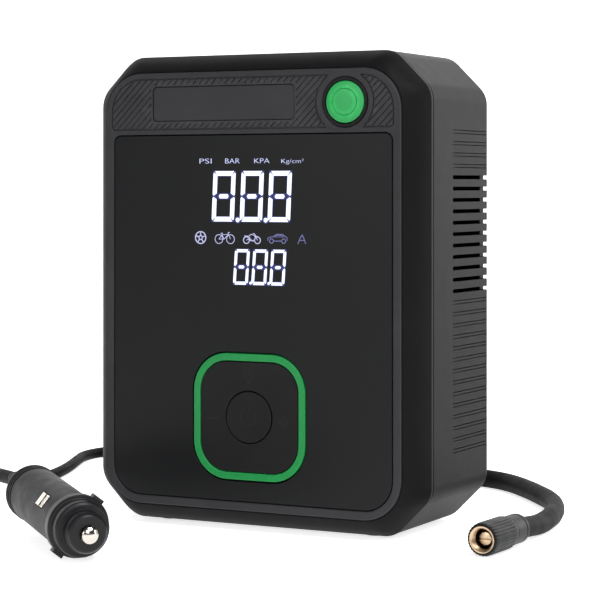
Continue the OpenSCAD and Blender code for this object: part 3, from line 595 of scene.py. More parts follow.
def bevel_point(near, far, t):
    """A point of the bevel, bowed out from the straight line between the deck and the lip."""
    near, far = Vector(near), Vector(far)
    along = (far - near).normalized()
    out = Vector((0, -1, 0)) + along * along.y
    return tuple(near.lerp(far, t) + out.normalized() * (BEVEL_BOW * 4 * t * (1 - t)))


def build_front_cover():
    """The slanted bevel runs out to a rounded lip, which stops at the groove round the case."""
    slope = atan2(HALF_W - TRIM_HW - LEDGE, Y_LIP - Y_DECK)
    rings = [at_y(trim_outline(0.3 - LEDGE), Y_DECK), at_y(trim_outline(-LEDGE), Y_DECK + 0.12)]
    rings += [[bevel_point(a, b, k / 7) for a, b in zip(rings[1], lip_ring(slope))] for k in range(1, 7)]
    rings += [lip_ring(slope * (1 - k / 5)) for k in range(6)]
    rings += [case_ring(inset, Y_PART - 0.35 + depth)
              for inset, depth in ((0, 0), (0.12, 0.22), (0.35, 0.35))]
    rings += [case_ring(WALL, Y_PART - 0.35), case_ring(WALL + 0.4, Y_LIP),
              at_y(trim_outline(1.2), DECK_BACK)]
    cover = build("front_cover_shell", loft(rings))
    board_front = box_mm("main_board")[0].y
    bosses = [peg(x, z, 4, DECK_BACK - 1, cover_high.y, 0.3) for x, z in TOWERS]
    bosses += [peg(x, z, 3, DECK_BACK - 1, board_front, 0.2) for x, z in POSTS]
    carve(cover, joined(bosses), "UNION")
    carve(cover, slab(trim_outline(-SLACK), Y_DECK - 2, TRIM_BACK))
    low, high = box_mm("display_module")
    cuts = [block(low.x - 1, high.x + 1, Y_DECK, DECK_BACK + 1, low.z - 1, high.z + 1),
            slab(ring_outline(-SLACK), Y_DECK, DECK_BACK + 1),
            peg(BLEED_X, BLEED_Z, COLLAR_R + SLACK, Y_DECK, DECK_BACK + 1)]
    cuts += [peg(x, z, 1.5, cover_high.y - 16, cover_high.y + 1) for x, z in TOWERS]
    carve(cover, joined(cuts))
    dress(cover, "case_plastic", stands_for=["front_cover"])


def vent_cutter(side, z, deep, high, start=VENT_START, flare=0.28):
    """A groove from near the front to past the back edge, with a flared mouth and a round front end."""
    rings = []
    for reach, grow in ((-deep, 0), (-0.22, 0), (0.06, flare), (2.0, flare)):
        half = high / 2 + grow
        outline = [(start + high / 2 - half * sin(pi * k / 8), z + half * cos(pi * k / 8)) for k in range(9)]
        outline += [(Y_BACK + 2, z - half), (Y_BACK + 2, z + half)]
        rings.append([(side * (HALF_W + reach), y, h) for y, h in outline])
    return loft(rings)


def build_rear_housing():
    """A tub: its skin runs from the inside of the back wall to the open front and back along the outside."""
    round_r, fit, tongue = 4, 0.15, 0.95
    rings = [case_ring(WALL + 2, Y_BACK - WALL), case_ring(WALL, Y_BACK - WALL - 2), case_ring(WALL, Y_PART)]
    rings += [case_ring(inset, Y_PART + depth) for inset, depth in (
        (tongue, 0), (tongue, 0.5), (fit + 0.3, 0.55), (fit + 0.1, 0.65), (fit, 0.9))]
    for k in range(9):
        turn = pi / 2 * k / 8
        rings.append(case_ring(fit + round_r * (1 - cos(turn)), Y_BACK - round_r + round_r * sin(turn)))
    shell = build("rear_housing_shell", loft(rings))
    towers = [peg(x, z, 5, -5, Y_BACK - 1) for x, z in TOWERS]
    towers += [peg(x, z, 4.5, 30, Y_BACK - 1) for x, z in MOUNTS]
    carve(shell, joined(towers), "UNION")
    bore = revolve([(0, 0), (3.5, 0), (3.5, 34), (3.9, 40), (0, 40)], 32)
    bores = [placed(bore, along_y(x, z, -2)) for x, z in TOWERS]
    bores += [peg(*front_box(gland)[:2], r, 20, Y_BACK + 1)
              for gland, r in (("hose_gland", 6.1), ("cord_gland", 4.6))]
    carve(shell, joined(bores))
    carve(shell, joined([peg(x, z, 1.7, -6, 0) for x, z in TOWERS]))
    grooves = []
    for i in range(VENTS):
        z = VENT_TOP - i * VENT_PITCH
        for side in (-1, 1):
            if i in OPEN_VENTS:
                grooves.append(vent_cutter(side, z, WALL + 0.6, 1.5))
            else:
                # A closed vent is outlined by two slits and notches the back edge
                grooves += [vent_cutter(side, z + rise, 0.8, 0.34, flare=0.04) for rise in (-0.62, 0.62)]
                grooves.append(vent_cutter(side, z, 0.9, 1.5, start=Y_BACK - 2.6))
    carve(shell, joined(grooves))
    dress(shell, "case_plastic", stands_for=["rear_housing"])


def build_feet():
    low, high = box_mm("feet")
    r = 5
    foot = revolve(filleted([(0, 0), (r - 0.3, 0), (r, high.z), (0, high.z)], 0.3), 40)
    feet = [placed(foot, Matrix.Translation((x, y, 0)))
            for x in (low.x + r, high.x - r) for y in (low.y + r, high.y - r)]
    dress(build("rubber_feet", joined(feet)), "foot_rubber", stands_for=["feet"])


def build_case_screws():
    low, high = box_mm("case_screws")
    r = 3
    profile = [(0, -17), (1.0, -17), (1.45, -16), (1.45, 0), (r, 0), (r, 1.5), (2.4, 2.2), (0, 2.2)]
    screw = revolve(filleted(profile, 0.25), 32)
    slot = block(-1.9, 1.9, -0.35, 0.35, 1.1, 3)
    spots = [along_y(x, z, -2) for x in (low.x + r, high.x - r) for z in (low.z + r, high.z - r)]
    screws = build("case_screws_turned", joined([placed(screw, spot) for spot in spots]))
    for turn in (20, 110):
        carve(screws, joined([placed(slot, spot @ Matrix.Rotation(radians(turn), 4, "Z")) for spot in spots]))
    dress(screws, "steel", stands_for=["case_screws"])


# ---------------------------------------------------------------- face
PLATE_LOW, PLATE_HIGH = box_mm("name_plate")
PLATE_CLEAR = 0.9
HATCH_X0, HATCH_X1 = -62.5, 62.3
HATCH_Z0, HATCH_Z1 = cover_low.z + 156.4, cover_low.z + 176.3
HATCH_R = TRIM_R - 2.9
BUTTON_CLEAR = 12.3
RIB_PITCH = 2.9
RIB_HALF = 0.31
LOOP_HALF = 0.32
GROOVE_DEEP = 0.5


def panel_outline(grow):
    hx, lo, hi = panel_high.x + grow, panel_low.z - grow, panel_high.z + grow
    rt, rl = 3 + grow, 12 + grow
    return (arc(hx - rt, hi - rt, rt, 0, 90, 13) + arc(-hx + rt, hi - rt, rt, 90, 180, 13)
            + arc(-hx + rl, lo + rl, rl, 180, 270, 13) + arc(hx - rl, lo + rl, rl, 270, 360, 13))


def in_hatch(x, z):
    """Whether a point of the face is in the ribbed band, clear of the name plate and the button."""
    if not (HATCH_X0 < x < HATCH_X1 and HATCH_Z0 < z < HATCH_Z1):
        return False
    over, above = max(HATCH_X0 + HATCH_R - x, x - (HATCH_X1 - HATCH_R)), z - (HATCH_Z1 - HATCH_R)
    past_corner = over > 0 and above > 0 and hypot(over, above) > HATCH_R
    at_button = hypot(x - BLEED_X, z - BLEED_Z) < BUTTON_CLEAR
    at_plate = (PLATE_LOW.x - PLATE_CLEAR < x < PLATE_HIGH.x + PLATE_CLEAR
                and PLATE_LOW.z - PLATE_CLEAR < z < PLATE_HIGH.z + PLATE_CLEAR)
    return not (past_corner or at_button or at_plate)


def rib_groove(c, z0, z1):
    """A 45 degree groove of the face from (c + z0, z0) to (c + z1, z1), narrower at its bottom."""
    rings = []
    for depth, half in ((GROOVE_DEEP - 0.03, RIB_HALF * 0.55), (0, RIB_HALF), (-0.5, RIB_HALF)):
        w = half / sqrt(2)
        corners = [(z0 - w, z0 + w), (z0 + w, z0 - w), (z1 + w, z1 - w), (z1 - w, z1 + w)]
        rings.append(at_y(shifted(corners, c, 0), Y_FACE + depth))
    return loft(rings)


def hatch_grooves():
    """The grooves between the slanted ribs, wherever the band is clear for more than a short stretch."""
    grooves = []
    step = 0.05
    c = ceil((HATCH_X0 - HATCH_Z1) / RIB_PITCH) * RIB_PITCH
    while c < HATCH_X1 - HATCH_Z0:
        run = []
        z = HATCH_Z0
        while z < HATCH_Z1 + step:
            if in_hatch(c + z, z):
                run.append(z)
            else:
                if run and run[-1] - run[0] > 0.7:
                    grooves.append(rib_groove(c, run[0], run[-1]))
                run = []
            z += step
        c += RIB_PITCH
    return grooves


def groove_loop(outline):
    """A groove round a closed line of the face."""
    slim, wide = LOOP_HALF * 0.55, LOOP_HALF
    section = ((-wide, -0.5), (-wide, 0), (-slim, GROOVE_DEEP), (slim, GROOVE_DEEP), (wide, 0), (wide, -0.5))
    rows = [[] for _ in section]
    for before, here, after in zip(outline[-1:] + outline, outline, outline[1:] + outline[:1]):
        along = (Vector(after) - Vector(before)).normalized()
        for row, (w, depth) in zip(rows, section):
            row.append((here[0] - along.y * w, Y_FACE + depth, here[1] + along.x * w))
    return loft(rows, closed=True)


def hatch_edges():
    """The outlines of the two ribbed fields, left and right of the button."""
    small = 1.4
    up, down = (degrees(asin(rise / BUTTON_CLEAR)) for rise in (HATCH_Z1 - BLEED_Z, BLEED_Z - HATCH_Z0))
    left = (arc(HATCH_X0 + HATCH_R, HATCH_Z1 - HATCH_R, HATCH_R, 90, 180, 10)
            + arc(HATCH_X0 + small, HATCH_Z0 + small, small, 180, 270, 4)
            + arc(BLEED_X, BLEED_Z, BUTTON_CLEAR, 180 + down, 180 - up, 16))
    right = (arc(BLEED_X, BLEED_Z, BUTTON_CLEAR, up, -down, 14)
             + arc(HATCH_X1 - small, HATCH_Z0 + small, small, 270, 360, 4)
             + arc(HATCH_X1 - HATCH_R, HATCH_Z1 - HATCH_R, HATCH_R, 0, 90, 10))
    return left, right


def build_face_frame():
    trim = build("face_trim", plate(trim_outline, Y_FACE, TRIM_BACK, r0=0.55,
                                    inner=lambda grow: panel_outline(SLACK + grow)))
    x, z, hx, hz = front_box("name_plate")
    pocket = slab(shifted(rounded(hx + 0.22, hz + 0.22, 1.9, 6), x, z), Y_FACE - 1, Y_FACE + 1)
    bore = COLLAR_R + 0.1
    funnel = revolve([(0, -2), (bore + 0.7, -2), (bore + 0.6, -0.1), (bore, 0.5), (bore, 4), (0, 4)])
    carve(trim, joined([pocket, placed(funnel, along_y(BLEED_X, BLEED_Z, Y_FACE))]))
    carve(trim, joined([groove_loop(edge) for edge in hatch_edges()]))
    carve(trim, joined(hatch_grooves()))
    dress(trim, "frame_plastic", stands_for=["face_frame"])
    name = build("blank_name_plate", plate(
        lambda inset: shifted(rounded(hx - inset, hz - inset, 1.7 - inset, 6), x, z),
        PLATE_LOW.y, PLATE_HIGH.y))
    dress(name, "frame_plastic", stands_for=["name_plate"])


def build_panel():
    glass = build("display_window", plate(
        lambda inset: panel_outline(-inset), panel_low.y, panel_high.y, r0=0.35,
        inner=lambda grow: ring_outline(-RING_GAP - grow, 13)))
    dress(glass, "panel_gloss", stands_for=["display_panel"])


def build_button():
    low, high = box_mm("bleed_button")
    bore_r = high.x - BLEED_X + SLACK
    bezel = filleted([(COLLAR_R, 0.05), (COLLAR_R, 10), (bore_r, 10), (bore_r, 0.05)], 0.35, closed=True)
    where = along_y(BLEED_X, BLEED_Z, box_mm("button_collar")[0].y)
    dress(build("button_bezel", placed(revolve(bezel, 96, closed=True), where)), "pad_plastic",
          stands_for=["button_collar"])
    r, dome_r, depth = (high.x - low.x) / 2, 54, high.y - low.y
    dome = [(r * i / 8, dome_r - sqrt(dome_r ** 2 - (r * i / 8) ** 2)) for i in range(9)]
    skirt = [(r, 7), (2, 7), (2, depth), (0, depth)]
    profile = dome[:-1] + filleted(dome[-2:] + skirt[:1], 0.7, 5)[1:-1] + skirt
    where = along_y(BLEED_X, BLEED_Z, low.y)
    button = build("release_button", placed(revolve(profile, 96), where))
    # A shallow ring groove takes the place of the word on the real button
    dish = revolve([(5.4, -2), (5.4, 0.24), (5.12, 0.52), (4.84, 0.24), (4.84, -2)], 96, closed=True)
    carve(button, placed(dish, where))
    dress(button, "button_green", "bleed_button", ["bleed_button"])


def build_light_ring():
    low, high = box_mm("light_ring")
    ring = build("light_ring_glow", plate(ring_outline, low.y, high.y, r0=0.4,
                                          inner=lambda grow: ring_outline(RING_BAND - grow)))
    dress(ring, "light_guide", stands_for=["light_ring"], look="lit_ring")


def stroke(points, width, closed=False):
    """A flat ribbon along a line of the face, as lists of (x, z) corners."""
    line = [Vector(p) for p in points]
    n = len(line)
    pairs = []
    for i, here in enumerate(line):
        before = line[i - 1] if i or closed else here
        after = line[(i + 1) % n] if i < n - 1 or closed else here
        steps = [step.normalized() for step in (here - before, after - here) if step.length > 1e-6]
        a, b = steps[0], steps[-1]
        side = Vector((-(a + b).y, (a + b).x)).normalized()
        side *= width / 2 / max(0.4, side.dot(Vector((-a.y, a.x))))
        pairs.append((tuple(here + side), tuple(here - side)))
    if closed:
        pairs.append(pairs[0])
    return [[*p, *q[::-1]] for p, q in zip(pairs, pairs[1:])]


def strokes(lines, width):
    return [tile for line in lines for tile in stroke(line, width)]


def ring_stroke(cx, cz, r, width, n=24):
    return stroke(circle(cx, cz, r, n), width, closed=True)


def polar(cx, cz, r, angle):
    return cx + r * cos(radians(angle)), cz + r * sin(radians(angle))


def thin_solid(patches, y0, y1):
    """Thin tiles of the face, one for each list of (x, z) corners."""
    return joined([slab(patch, y0, y1) for patch in patches])


def build_pad():
    low, high = box_mm("control_pad")
    r = RING_R - RING_BAND - SLACK
    pad = build("four_way_pad", plate(lambda inset: rounded(high.x - inset, high.x - inset, r - inset, 15),
                                      low.y, high.y, PAD_Z, r0=0.35,
                                      inner=lambda grow: circle(0, 0, 10.3 + grow, 64)))
    icons = strokes([[(-18.4, -1.2), (-13.4, -1.2)], [(13.2, -1.2), (18.2, -1.2)],
                     [(15.7, -3.7), (15.7, 1.3)]], 0.55)
    lamp = [arc(0, 16.6, 2.0, -50, 230, 16), [(-1.2, 14.2), (1.2, 14.2)], [(-0.8, 13.3), (0.8, 13.3)]]
    lamp += [[polar(0, 16.6, reach, a) for reach in (3.0, 4.0)] for a in (30, 90, 150)]
    loop = [arc(0, -16.6, 2.2, 40, 320, 20), [(1.0, -14.6), (2.1, -15.0), (2.2, -13.8)]]
    icons = [shifted(patch, 0, PAD_Z) for patch in icons + strokes(lamp + loop, 0.4)]
    marks = build("pad_marks", thin_solid(icons, low.y - 0.03, low.y + 0.05))
    dress(pad, "pad_plastic", "pad", ["control_pad"])
    dress(marks, "pad_plastic", "pad", look="pad_marks")
    low, high = box_mm("power_button")
    r, thick = high.x, high.y - low.y
    profile = [(0, 0.35), (r * 0.4, 0.3), (r * 0.75, 0.14), (r - 0.6, 0.0), (r - 0.25, 0.05), (r - 0.07, 0.2),
               (r, 0.45), (r, thick), (0, thick)]
    key = build("power_key", placed(revolve(profile, 96), along_y(0, PAD_Z, low.y)))
    dress(key, "pad_plastic", "power_button", ["power_button"])
    sign = strokes([arc(0, PAD_Z, 3.3, -240, 60, 24), [(0, PAD_Z + 1.6), (0, PAD_Z + 4.2)]], 0.45)
    mark = build("power_mark", thin_solid(sign, low.y + 0.2, low.y + 0.42))
    dress(mark, "pad_plastic", "power_button", look="pad_marks")


# ---------------------------------------------------------------- display
def digit(x0, x1, z0, z1, bar, dash_w, dash_h, lean):
    """A seven-bar figure with mitred corners and a short middle dash."""
    mid, gap = (z0 + z1) / 2, 0.26
    wide, slim = gap + 0.5, bar - gap + 0.2
    tiles = []
    for far, up in ((z1, 1), (z0, -1)):
        near, inner = mid + up * gap, far - up * bar
        tiles.append([(x0 + wide, far), (x1 - wide, far), (x1 - slim, inner), (x0 + slim, inner)])
        for edge, inward in ((x0, 1), (x1, -1)):
            side, deep = edge + inward * 0.45, edge + inward * bar
            tiles.append([(edge, near + up * 0.45), (side, near), (deep, near + up * 0.9),
                          (deep, inner - up * gap * 0.6), (side, far - up * (gap + 0.25)),
                          (edge, far - up * (gap + 0.75))])
    w, h = dash_w / 2, dash_h / 2
    dash = [(-w, 0), (0.5 - w, h), (w - 0.5, h), (w, 0), (w - 0.5, -h), (0.5 - w, -h)]
    tiles.append(shifted(dash, (x0 + x1) / 2, mid))
    return [[(x + (z - z0) * lean, z) for x, z in tile] for tile in tiles]


def halo(tile, grow):
    """A tile grown outwards from its middle, for the glow round it."""
    cx, cz = (sum(values) / len(tile) for values in zip(*tile))
    return [tuple(Vector(p) + Vector((p[0] - cx, p[1] - cz)).normalized() * grow) for p in tile]


def ball():
    """A ball with curved seams."""
    turns = [90 + 72 * k for k in range(5)]
    seams = strokes([[polar(0, 0, r, a) for r in (0.85, 2.3)] for a in turns], 0.4)
    return ring_stroke(0, 0, 2.35, 0.42) + seams + stroke([polar(0, 0, 0.9, a) for a in turns], 0.4, True)


def bicycle():
    """Two wheels, a frame, a saddle and a handlebar."""
    back, front, crank, seat, head = (-2.6, -0.5), (2.6, -0.5), (-0.3, -0.5), (-1.2, 1.2), (1.7, 1.4)
    bars = [[back, crank, head, front], [back, seat, head], [seat, crank], [(-1.8, 1.8), (-0.8, 1.8)],
            [seat, (-1.35, 1.8)], [head, (1.55, 2.1), (2.3, 2.2)]]
    return ring_stroke(*back, 1.75, 0.26) + ring_stroke(*front, 1.75, 0.26) + strokes(bars, 0.24)


def motorcycle():
    """Two thick wheels, a tank and seat line, a fork and a handlebar."""
    back, front = (-2.4, -0.8), (2.5, -0.8)
    bars = [[(-3.4, 0.9), (-1.4, 0.7), (-0.4, 1.5), (1.0, 1.2), (1.6, 0.4)],
            [back, (-0.9, -0.2), (0.4, -1.1), (1.3, -0.4), (1.6, 0.6)], [front, (1.3, 1.6), (0.5, 1.9)],
            [(-1.0, 0.5), (-0.7, -0.9), (0.8, -1.2)], [(1.4, 0.8), (2.6, 0.7)]]
    return ring_stroke(*back, 1.3, 0.36) + ring_stroke(*front, 1.3, 0.36) + strokes(bars, 0.26)


def car():
    """A hatchback's side outline with its windows and wheels."""
    body = [(-4.2, -0.9), (-4.2, 0.1), (-3.2, 0.5), (-1.7, 0.7), (-0.4, 1.6), (2.2, 1.6), (3.6, 0.7),
            (4.2, 0.4), (4.2, -0.9)]
    window = [(-1.2, 0.6), (-0.2, 1.2), (1.9, 1.2), (2.7, 0.6)]
    wheels = ring_stroke(-2.6, -1.0, 0.85, 0.34, 16) + ring_stroke(2.7, -1.0, 0.85, 0.34, 16)
    return strokes([body, [(-1.6, -1.0), (1.7, -1.0)]], 0.32) + stroke(window, 0.26, True) + wheels


def airbed():
    """Something blown up, standing on two legs."""
    body = [(-1.7, -1.8), (-0.6, 0.6), (0.2, 1.7), (0.9, 0.4), (1.7, -1.8)]
    return stroke(body, 0.34) + stroke([(-0.9, -0.4), (1.1, -0.4)], 0.3)


# The height of a capital letter of the lettering's font, for a size of one
CAP_HEIGHT = 0.729


def label(name, words, x0, x1, z, height, y):
    """Unit lettering set to a width and a cap height."""
    data = bpy.data.curves.new(name, "FONT")
    data.body = words
    data.size = 1
    data.resolution_u = 3
    data.offset = -0.012
    text = linked(name, data)
    mesh = mesh_of(text)
    bpy.data.objects.remove(text)
    xs = [v.co.x for v in mesh.vertices]
    left, sx, sz = min(xs), (x1 - x0) / (max(xs) - min(xs)), height / CAP_HEIGHT
    for v in mesh.vertices:
        v.co = ((x0 + (v.co.x - left) * sx) * MM, y * MM, (z + v.co.y * sz) * MM)
    return linked(name, mesh)


def build_display():
    """Figures, dots, unit names and symbols that shine through the window."""
    front = panel_low.y
    lit_y, halo_y = front - 0.06, front - 0.03
    base = cover_low.z - 1
    figures = []
    for x0, x1 in ((-16.6, -6.6), (-4.0, 5.9), (8.35, 18.2)):
        figures += digit(x0, x1, base + 121, base + 140.75, bar=1.85, dash_w=4.4, dash_h=1.7, lean=0.045)
    for x0, x1 in ((-7.0, -0.4), (1.15, 7.7), (9.15, 15.7)):
        figures += digit(x0, x1, base + 96.4, base + 110.25, bar=1.2, dash_w=2.75, dash_h=1.2, lean=0.07)
    dots = [circle(x, base + 121.65, 0.9, 16) for x in (-4.9, 7.55)]
    dots += [circle(x, base + 97.1, 0.55, 12) for x in (0.85, 8.85)]
    lit = build("display_figures", thin_solid(figures + dots, lit_y, halo_y - 0.005))
    dress(lit, "display_white", look="lit_figures")
    glows = [halo(tile, 0.75) for tile in figures] + [halo(tile, 0.5) for tile in dots]
    # Each patch of haze lies a little in front of the one before, so that no two share a plane
    haze = [slab(tile, halo_y - 0.0005 * i, front + 0.02) for i, tile in enumerate(glows)]
    dress(build("display_haze", joined(haze)), "display_white", look="haze")
    for draw, x, rise, look in ((ball, -21.6, 0, "lit_symbols"), (bicycle, -10.7, 0, "lit_symbols"),
                                (motorcycle, 1.4, 0, "lit_symbols"), (car, 12.7, 0, "lit_dim"),
                                (airbed, 23.3, -0.2, "lit_dim")):
        tiles = [shifted(tile, x, base + 114.6 + rise) for tile in draw()]
        symbol = build("symbol_" + draw.__name__, thin_solid(tiles, lit_y, front + 0.02))
        dress(symbol, "display_white", look=look)
    for name, words, x0, x1, height in (
            ("unit_psi", "PSI", -22.1, -16.6, 2.1), ("unit_bar", "BAR", -10.5, -4.0, 2.1),
            ("unit_kpa", "KPA", 2.5, 9.25, 2.1), ("unit_kg", "Kg/cm²", 14.4, 24.15, 1.75)):
        unit = label(name, words, x0, x1, base + 143.75, height, lit_y)
        thick = unit.modifiers.new("thick", "SOLIDIFY")
        thick.thickness = 0.05 * MM
        thick.offset = 0
        dress(unit, "display_white", look="lit_units")


# ---------------------------------------------------------------- chuck
def along_axis(joint, before, side):
    """The frame of a piece that turns on a joint: Z is the joint's axis, with its zero before the joint."""
    axis = Vector(JOINTS[joint]["axis"]).normalized()
    origin = Vector(JOINTS[joint]["pos_m"]) / MM - axis * before
    x = (side - axis * side.dot(axis)).normalized()
    turned_axes = Matrix((x, axis.cross(x), axis)).transposed().to_4x4()
    return Matrix.Translation(origin) @ turned_axes


def turned(name, profile, fillet, n, where, sides=96, closed=False):
    """A piece turned from a profile whose corners are rounded."""
    return build(name, placed(revolve(filleted(profile, fillet, n, closed), sides, closed), where))


CHUCK = along_axis("chuck_turn", 20, Vector((1, 0, 0)))
KNURL_RIBS = 30
KNURL_SIDES = 300
THREAD_SIDES = 72
THREAD_PITCH = 0.794


def knurl(k, base, rise):
    """The radius of a knurled surface at its point k: flat-topped ribs with sloping sides."""
    phase = k * KNURL_RIBS / KNURL_SIDES % 1
    return base + rise * min(1.0, max(0.0, 1.35 - abs(phase - 0.5) * 4.2))


def build_chuck():
    ferrule = [(0, 0.2), (4.3, 0.0), (5.6, 0.5), (5.6, 2.1), (5.35, 2.2), (5.35, 2.5), (5.6, 2.6),
               (5.6, 9.95), (4.1, 9.95), (4.1, 14), (2, 14), (2, 11), (0, 11)]
    dress(turned("chuck_sleeve", ferrule, 0.2, 3, CHUCK), "chuck_plastic", stands_for=["chuck_ferrule"])
    core = [(0, 11), (1.95, 11), (1.95, 15), (2.5, 15), (2.5, 27.9), (0, 28.1)]
    pin = turned("chuck_pin", core, 0.25, 3, CHUCK, 48)
    carve(pin, placed(block(-3, 3, -0.35, 0.35, 26.6, 29), CHUCK))
    dress(pin, "brass", stands_for=["chuck_core"])
    rings = [hoop([knurl(k, 5.83 - shrink, 0.45 * share) for k in range(KNURL_SIDES)], z, KNURL_SIDES)
             for z, share, shrink in (
                 (10.35, 0, 0.35), (10.55, 0, 0.05), (11.6, 0, 0), (11.9, 0.6, 0), (12.4, 1, 0),
                 (29.0, 1, 0), (29.9, 0.85, 0), (30.6, 0.4, 0.05), (30.95, 0, 0.3))]
    rings += [hoop(r, z, KNURL_SIDES) for r, z in ((5.03, 31.0), (5.03, 11.95), (4.5, 11.9), (4.5, 10.35))]
    collar = build("chuck_knurled_collar", placed(loft(rings, closed=True), CHUCK))
    dress(collar, "chuck_plastic", "chuck_nut", ["chuck_collar"], angle=25)
    rings = [hoop(r, z, THREAD_SIDES)
             for r, z in ((5.0, 12.0), (5.0, 31.0), (4.9, 31.18), (4.62, 31.18), (4.25, 30.9))]
    z = 30.7
    while z > 27.7:
        rings.append(hoop([4.02 - 0.15 * cos(tau * (z / THREAD_PITCH - k / THREAD_SIDES))
                           for k in range(THREAD_SIDES)], z, THREAD_SIDES))
        z -= THREAD_PITCH / 8
    rings += [hoop(r, z, THREAD_SIDES) for r, z in ((4.4, 27.6), (4.4, 12.0))]
    thread = build("chuck_brass_thread", placed(loft(rings, closed=True), CHUCK))
    dress(thread, "brass", "chuck_nut", ["chuck_insert"], angle=40)


# ---------------------------------------------------------------- plug
PLUG = along_axis("plug_nose_unscrew", 66, Vector(JOINTS["plug_contact_left_press"]["axis"]))
BARREL_L = 58
BARREL_R = 10.5
CONTACT_Z = 39
CONTACT_END = CONTACT_Z + 8
CONTACT_W = 5.2
CROWN_R = BARREL_R + 1.05
NOSE_Z = BARREL_L + 10
TIP_WALL = NOSE_Z + 6.5


def build_barrel():
    barrel = [(0, 0), (10.8, 0), (10.8, 1.65), (10.1, 1.8), (10.1, 2.65), (10.8, 2.8), (10.8, 3.7),
              (10.1, 3.85), (10.1, 4.75), (10.8, 4.9), (10.8, 5.7), (10.5, 6.0), (BARREL_R, BARREL_L - 0.02),
              (8.7, BARREL_L - 0.02), (8.7, 16), (0, 16)]
    body = turned("plug_barrel", barrel, 0.3, 3, PLUG)
    slots = []
    for side in (-1, 1):
        rings = []
        for x, grow in ((4, 0), (10.2, 0), (10.6, 0.28), (13, 0.28)):
            w, z0, z1 = CONTACT_W / 2 + SLACK + grow, CONTACT_Z - SLACK - grow, CONTACT_END + SLACK + grow
            rings.append([(side * x, a, z) for a, z in ((-w, z0), (w, z0), (w, z1), (-w, z1))])
        slots.append(loft(rings))
    carve(body, placed(joined(slots), PLUG))
    dress(body, "plug_plastic", stands_for=["plug_body"])


def build_contacts():
    """Two bent strips: each springs out of its slot and holds on to the inside of the barrel."""
    z0, z1, thick, w = CONTACT_Z, CONTACT_END, 0.5, CONTACT_W / 2 - 0.05
    line = [(7.35, z0 - 2.4), (7.35, z0 + 0.1), (8.0, z0 + 0.4), (9.2, z0 + 0.8), (9.8, z0 + 1.3),
            (10.4, z0 + 1.9), (CROWN_R, z0 + 2.5), (CROWN_R, z1 - 1.2), (10.2, z1 - 0.5),
            (8.2, z1 - 0.2), (7.4, z1 + 0.2), (7.35, z1 + 2.4)]
    line = filleted(line, 0.7)
    under = []
    for before, here, after in zip(line[:1] + line, line, line[1:] + line[-1:]):
        ahead = Vector(after) - Vector(before)
        away = Vector((ahead.y, -ahead.x)).normalized() * thick
        under.append((here[0] - away.x, here[1] - away.y))
    for side, name in ((-1, "left"), (1, "right")):
        rings = [[(side * r, a, z) for r, z in line + under[::-1]] for a in (-w, w)]
        blade = build("plug_side_contact_" + name, placed(loft(rings), PLUG))
        soft = blade.modifiers.new("soft", "BEVEL")
        soft.width = 0.12 * MM
        soft.segments = 2
        soft.limit_method = "ANGLE"
        soft.angle_limit = radians(50)
        dress(blade, "nickel", "contact_" + name, ["plug_contact_" + name])


def build_plug():
    relief = [(0, -26), (3.0, -26), (3.1, -25.6)]
    for k in range(8):
        z = -24.6 + 2.9 * k
        r = 3.12 + (4.3 - 3.12) * (z + 26) / 26
        relief += [(r, z), (r - 0.5, z + 0.25), (r - 0.5, z + 1.05), (r + 0.04, z + 1.3)]
    relief += [(4.35, -0.05), (0, -0.05)]
    sleeve = turned("plug_relief_ribbed", relief, 0.15, 2, PLUG, 64)
    dress(sleeve, "relief_grey", stands_for=["plug_strain_relief"])
    build_barrel()
    build_contacts()
    nose = [(3.15, TIP_WALL), (6.2, TIP_WALL), (6.9, TIP_WALL - 0.5), (7.1, TIP_WALL - 1.2),
            (7.6, TIP_WALL - 2), (7.6, NOSE_Z + 0.1), (9.2, NOSE_Z), (10.0, NOSE_Z - 0.5),
            (10.3, NOSE_Z - 1.3), (10.3, BARREL_L + 4.8), (10.6, BARREL_L + 4.6),
            (11.3, BARREL_L + 4.4), (11.6, BARREL_L + 3.8), (11.6, BARREL_L + 0.4),
            (11.4, BARREL_L + 0.1), (8.6, BARREL_L + 0.1), (8.6, BARREL_L - 6), (4.4, BARREL_L - 6),
            (4.4, TIP_WALL - 1.5), (3.15, TIP_WALL - 1.5)]
    cap = turned("plug_screw_cap", nose, 0.28, 3, PLUG, closed=True)
    lugs = [block(-2.25, 2.25, middle - 1.25, middle + 1.25, BARREL_L + 0.7, BARREL_L + 3.7)
            for middle in (-BARREL_R - 1, BARREL_R + 1)]
    carve(cap, placed(joined(lugs), PLUG), "UNION")
    dress(cap, "plug_plastic", "plug_cap", ["plug_nose"], look="plug_cap")
    radii = [3.0 * sin(pi / 2 * k / 8) for k in range(9)]
    tip = [(r, TIP_WALL - 1 + sqrt(4.4 ** 2 - r ** 2)) for r in radii]
    tip += [(3.0, TIP_WALL - 2), (4.1, TIP_WALL - 2.02), (4.1, TIP_WALL - 4.38), (0, TIP_WALL - 4.4)]
    dress(build("plug_centre_tip", placed(revolve(tip, 72), PLUG)), "nickel", "tip", ["plug_tip"])


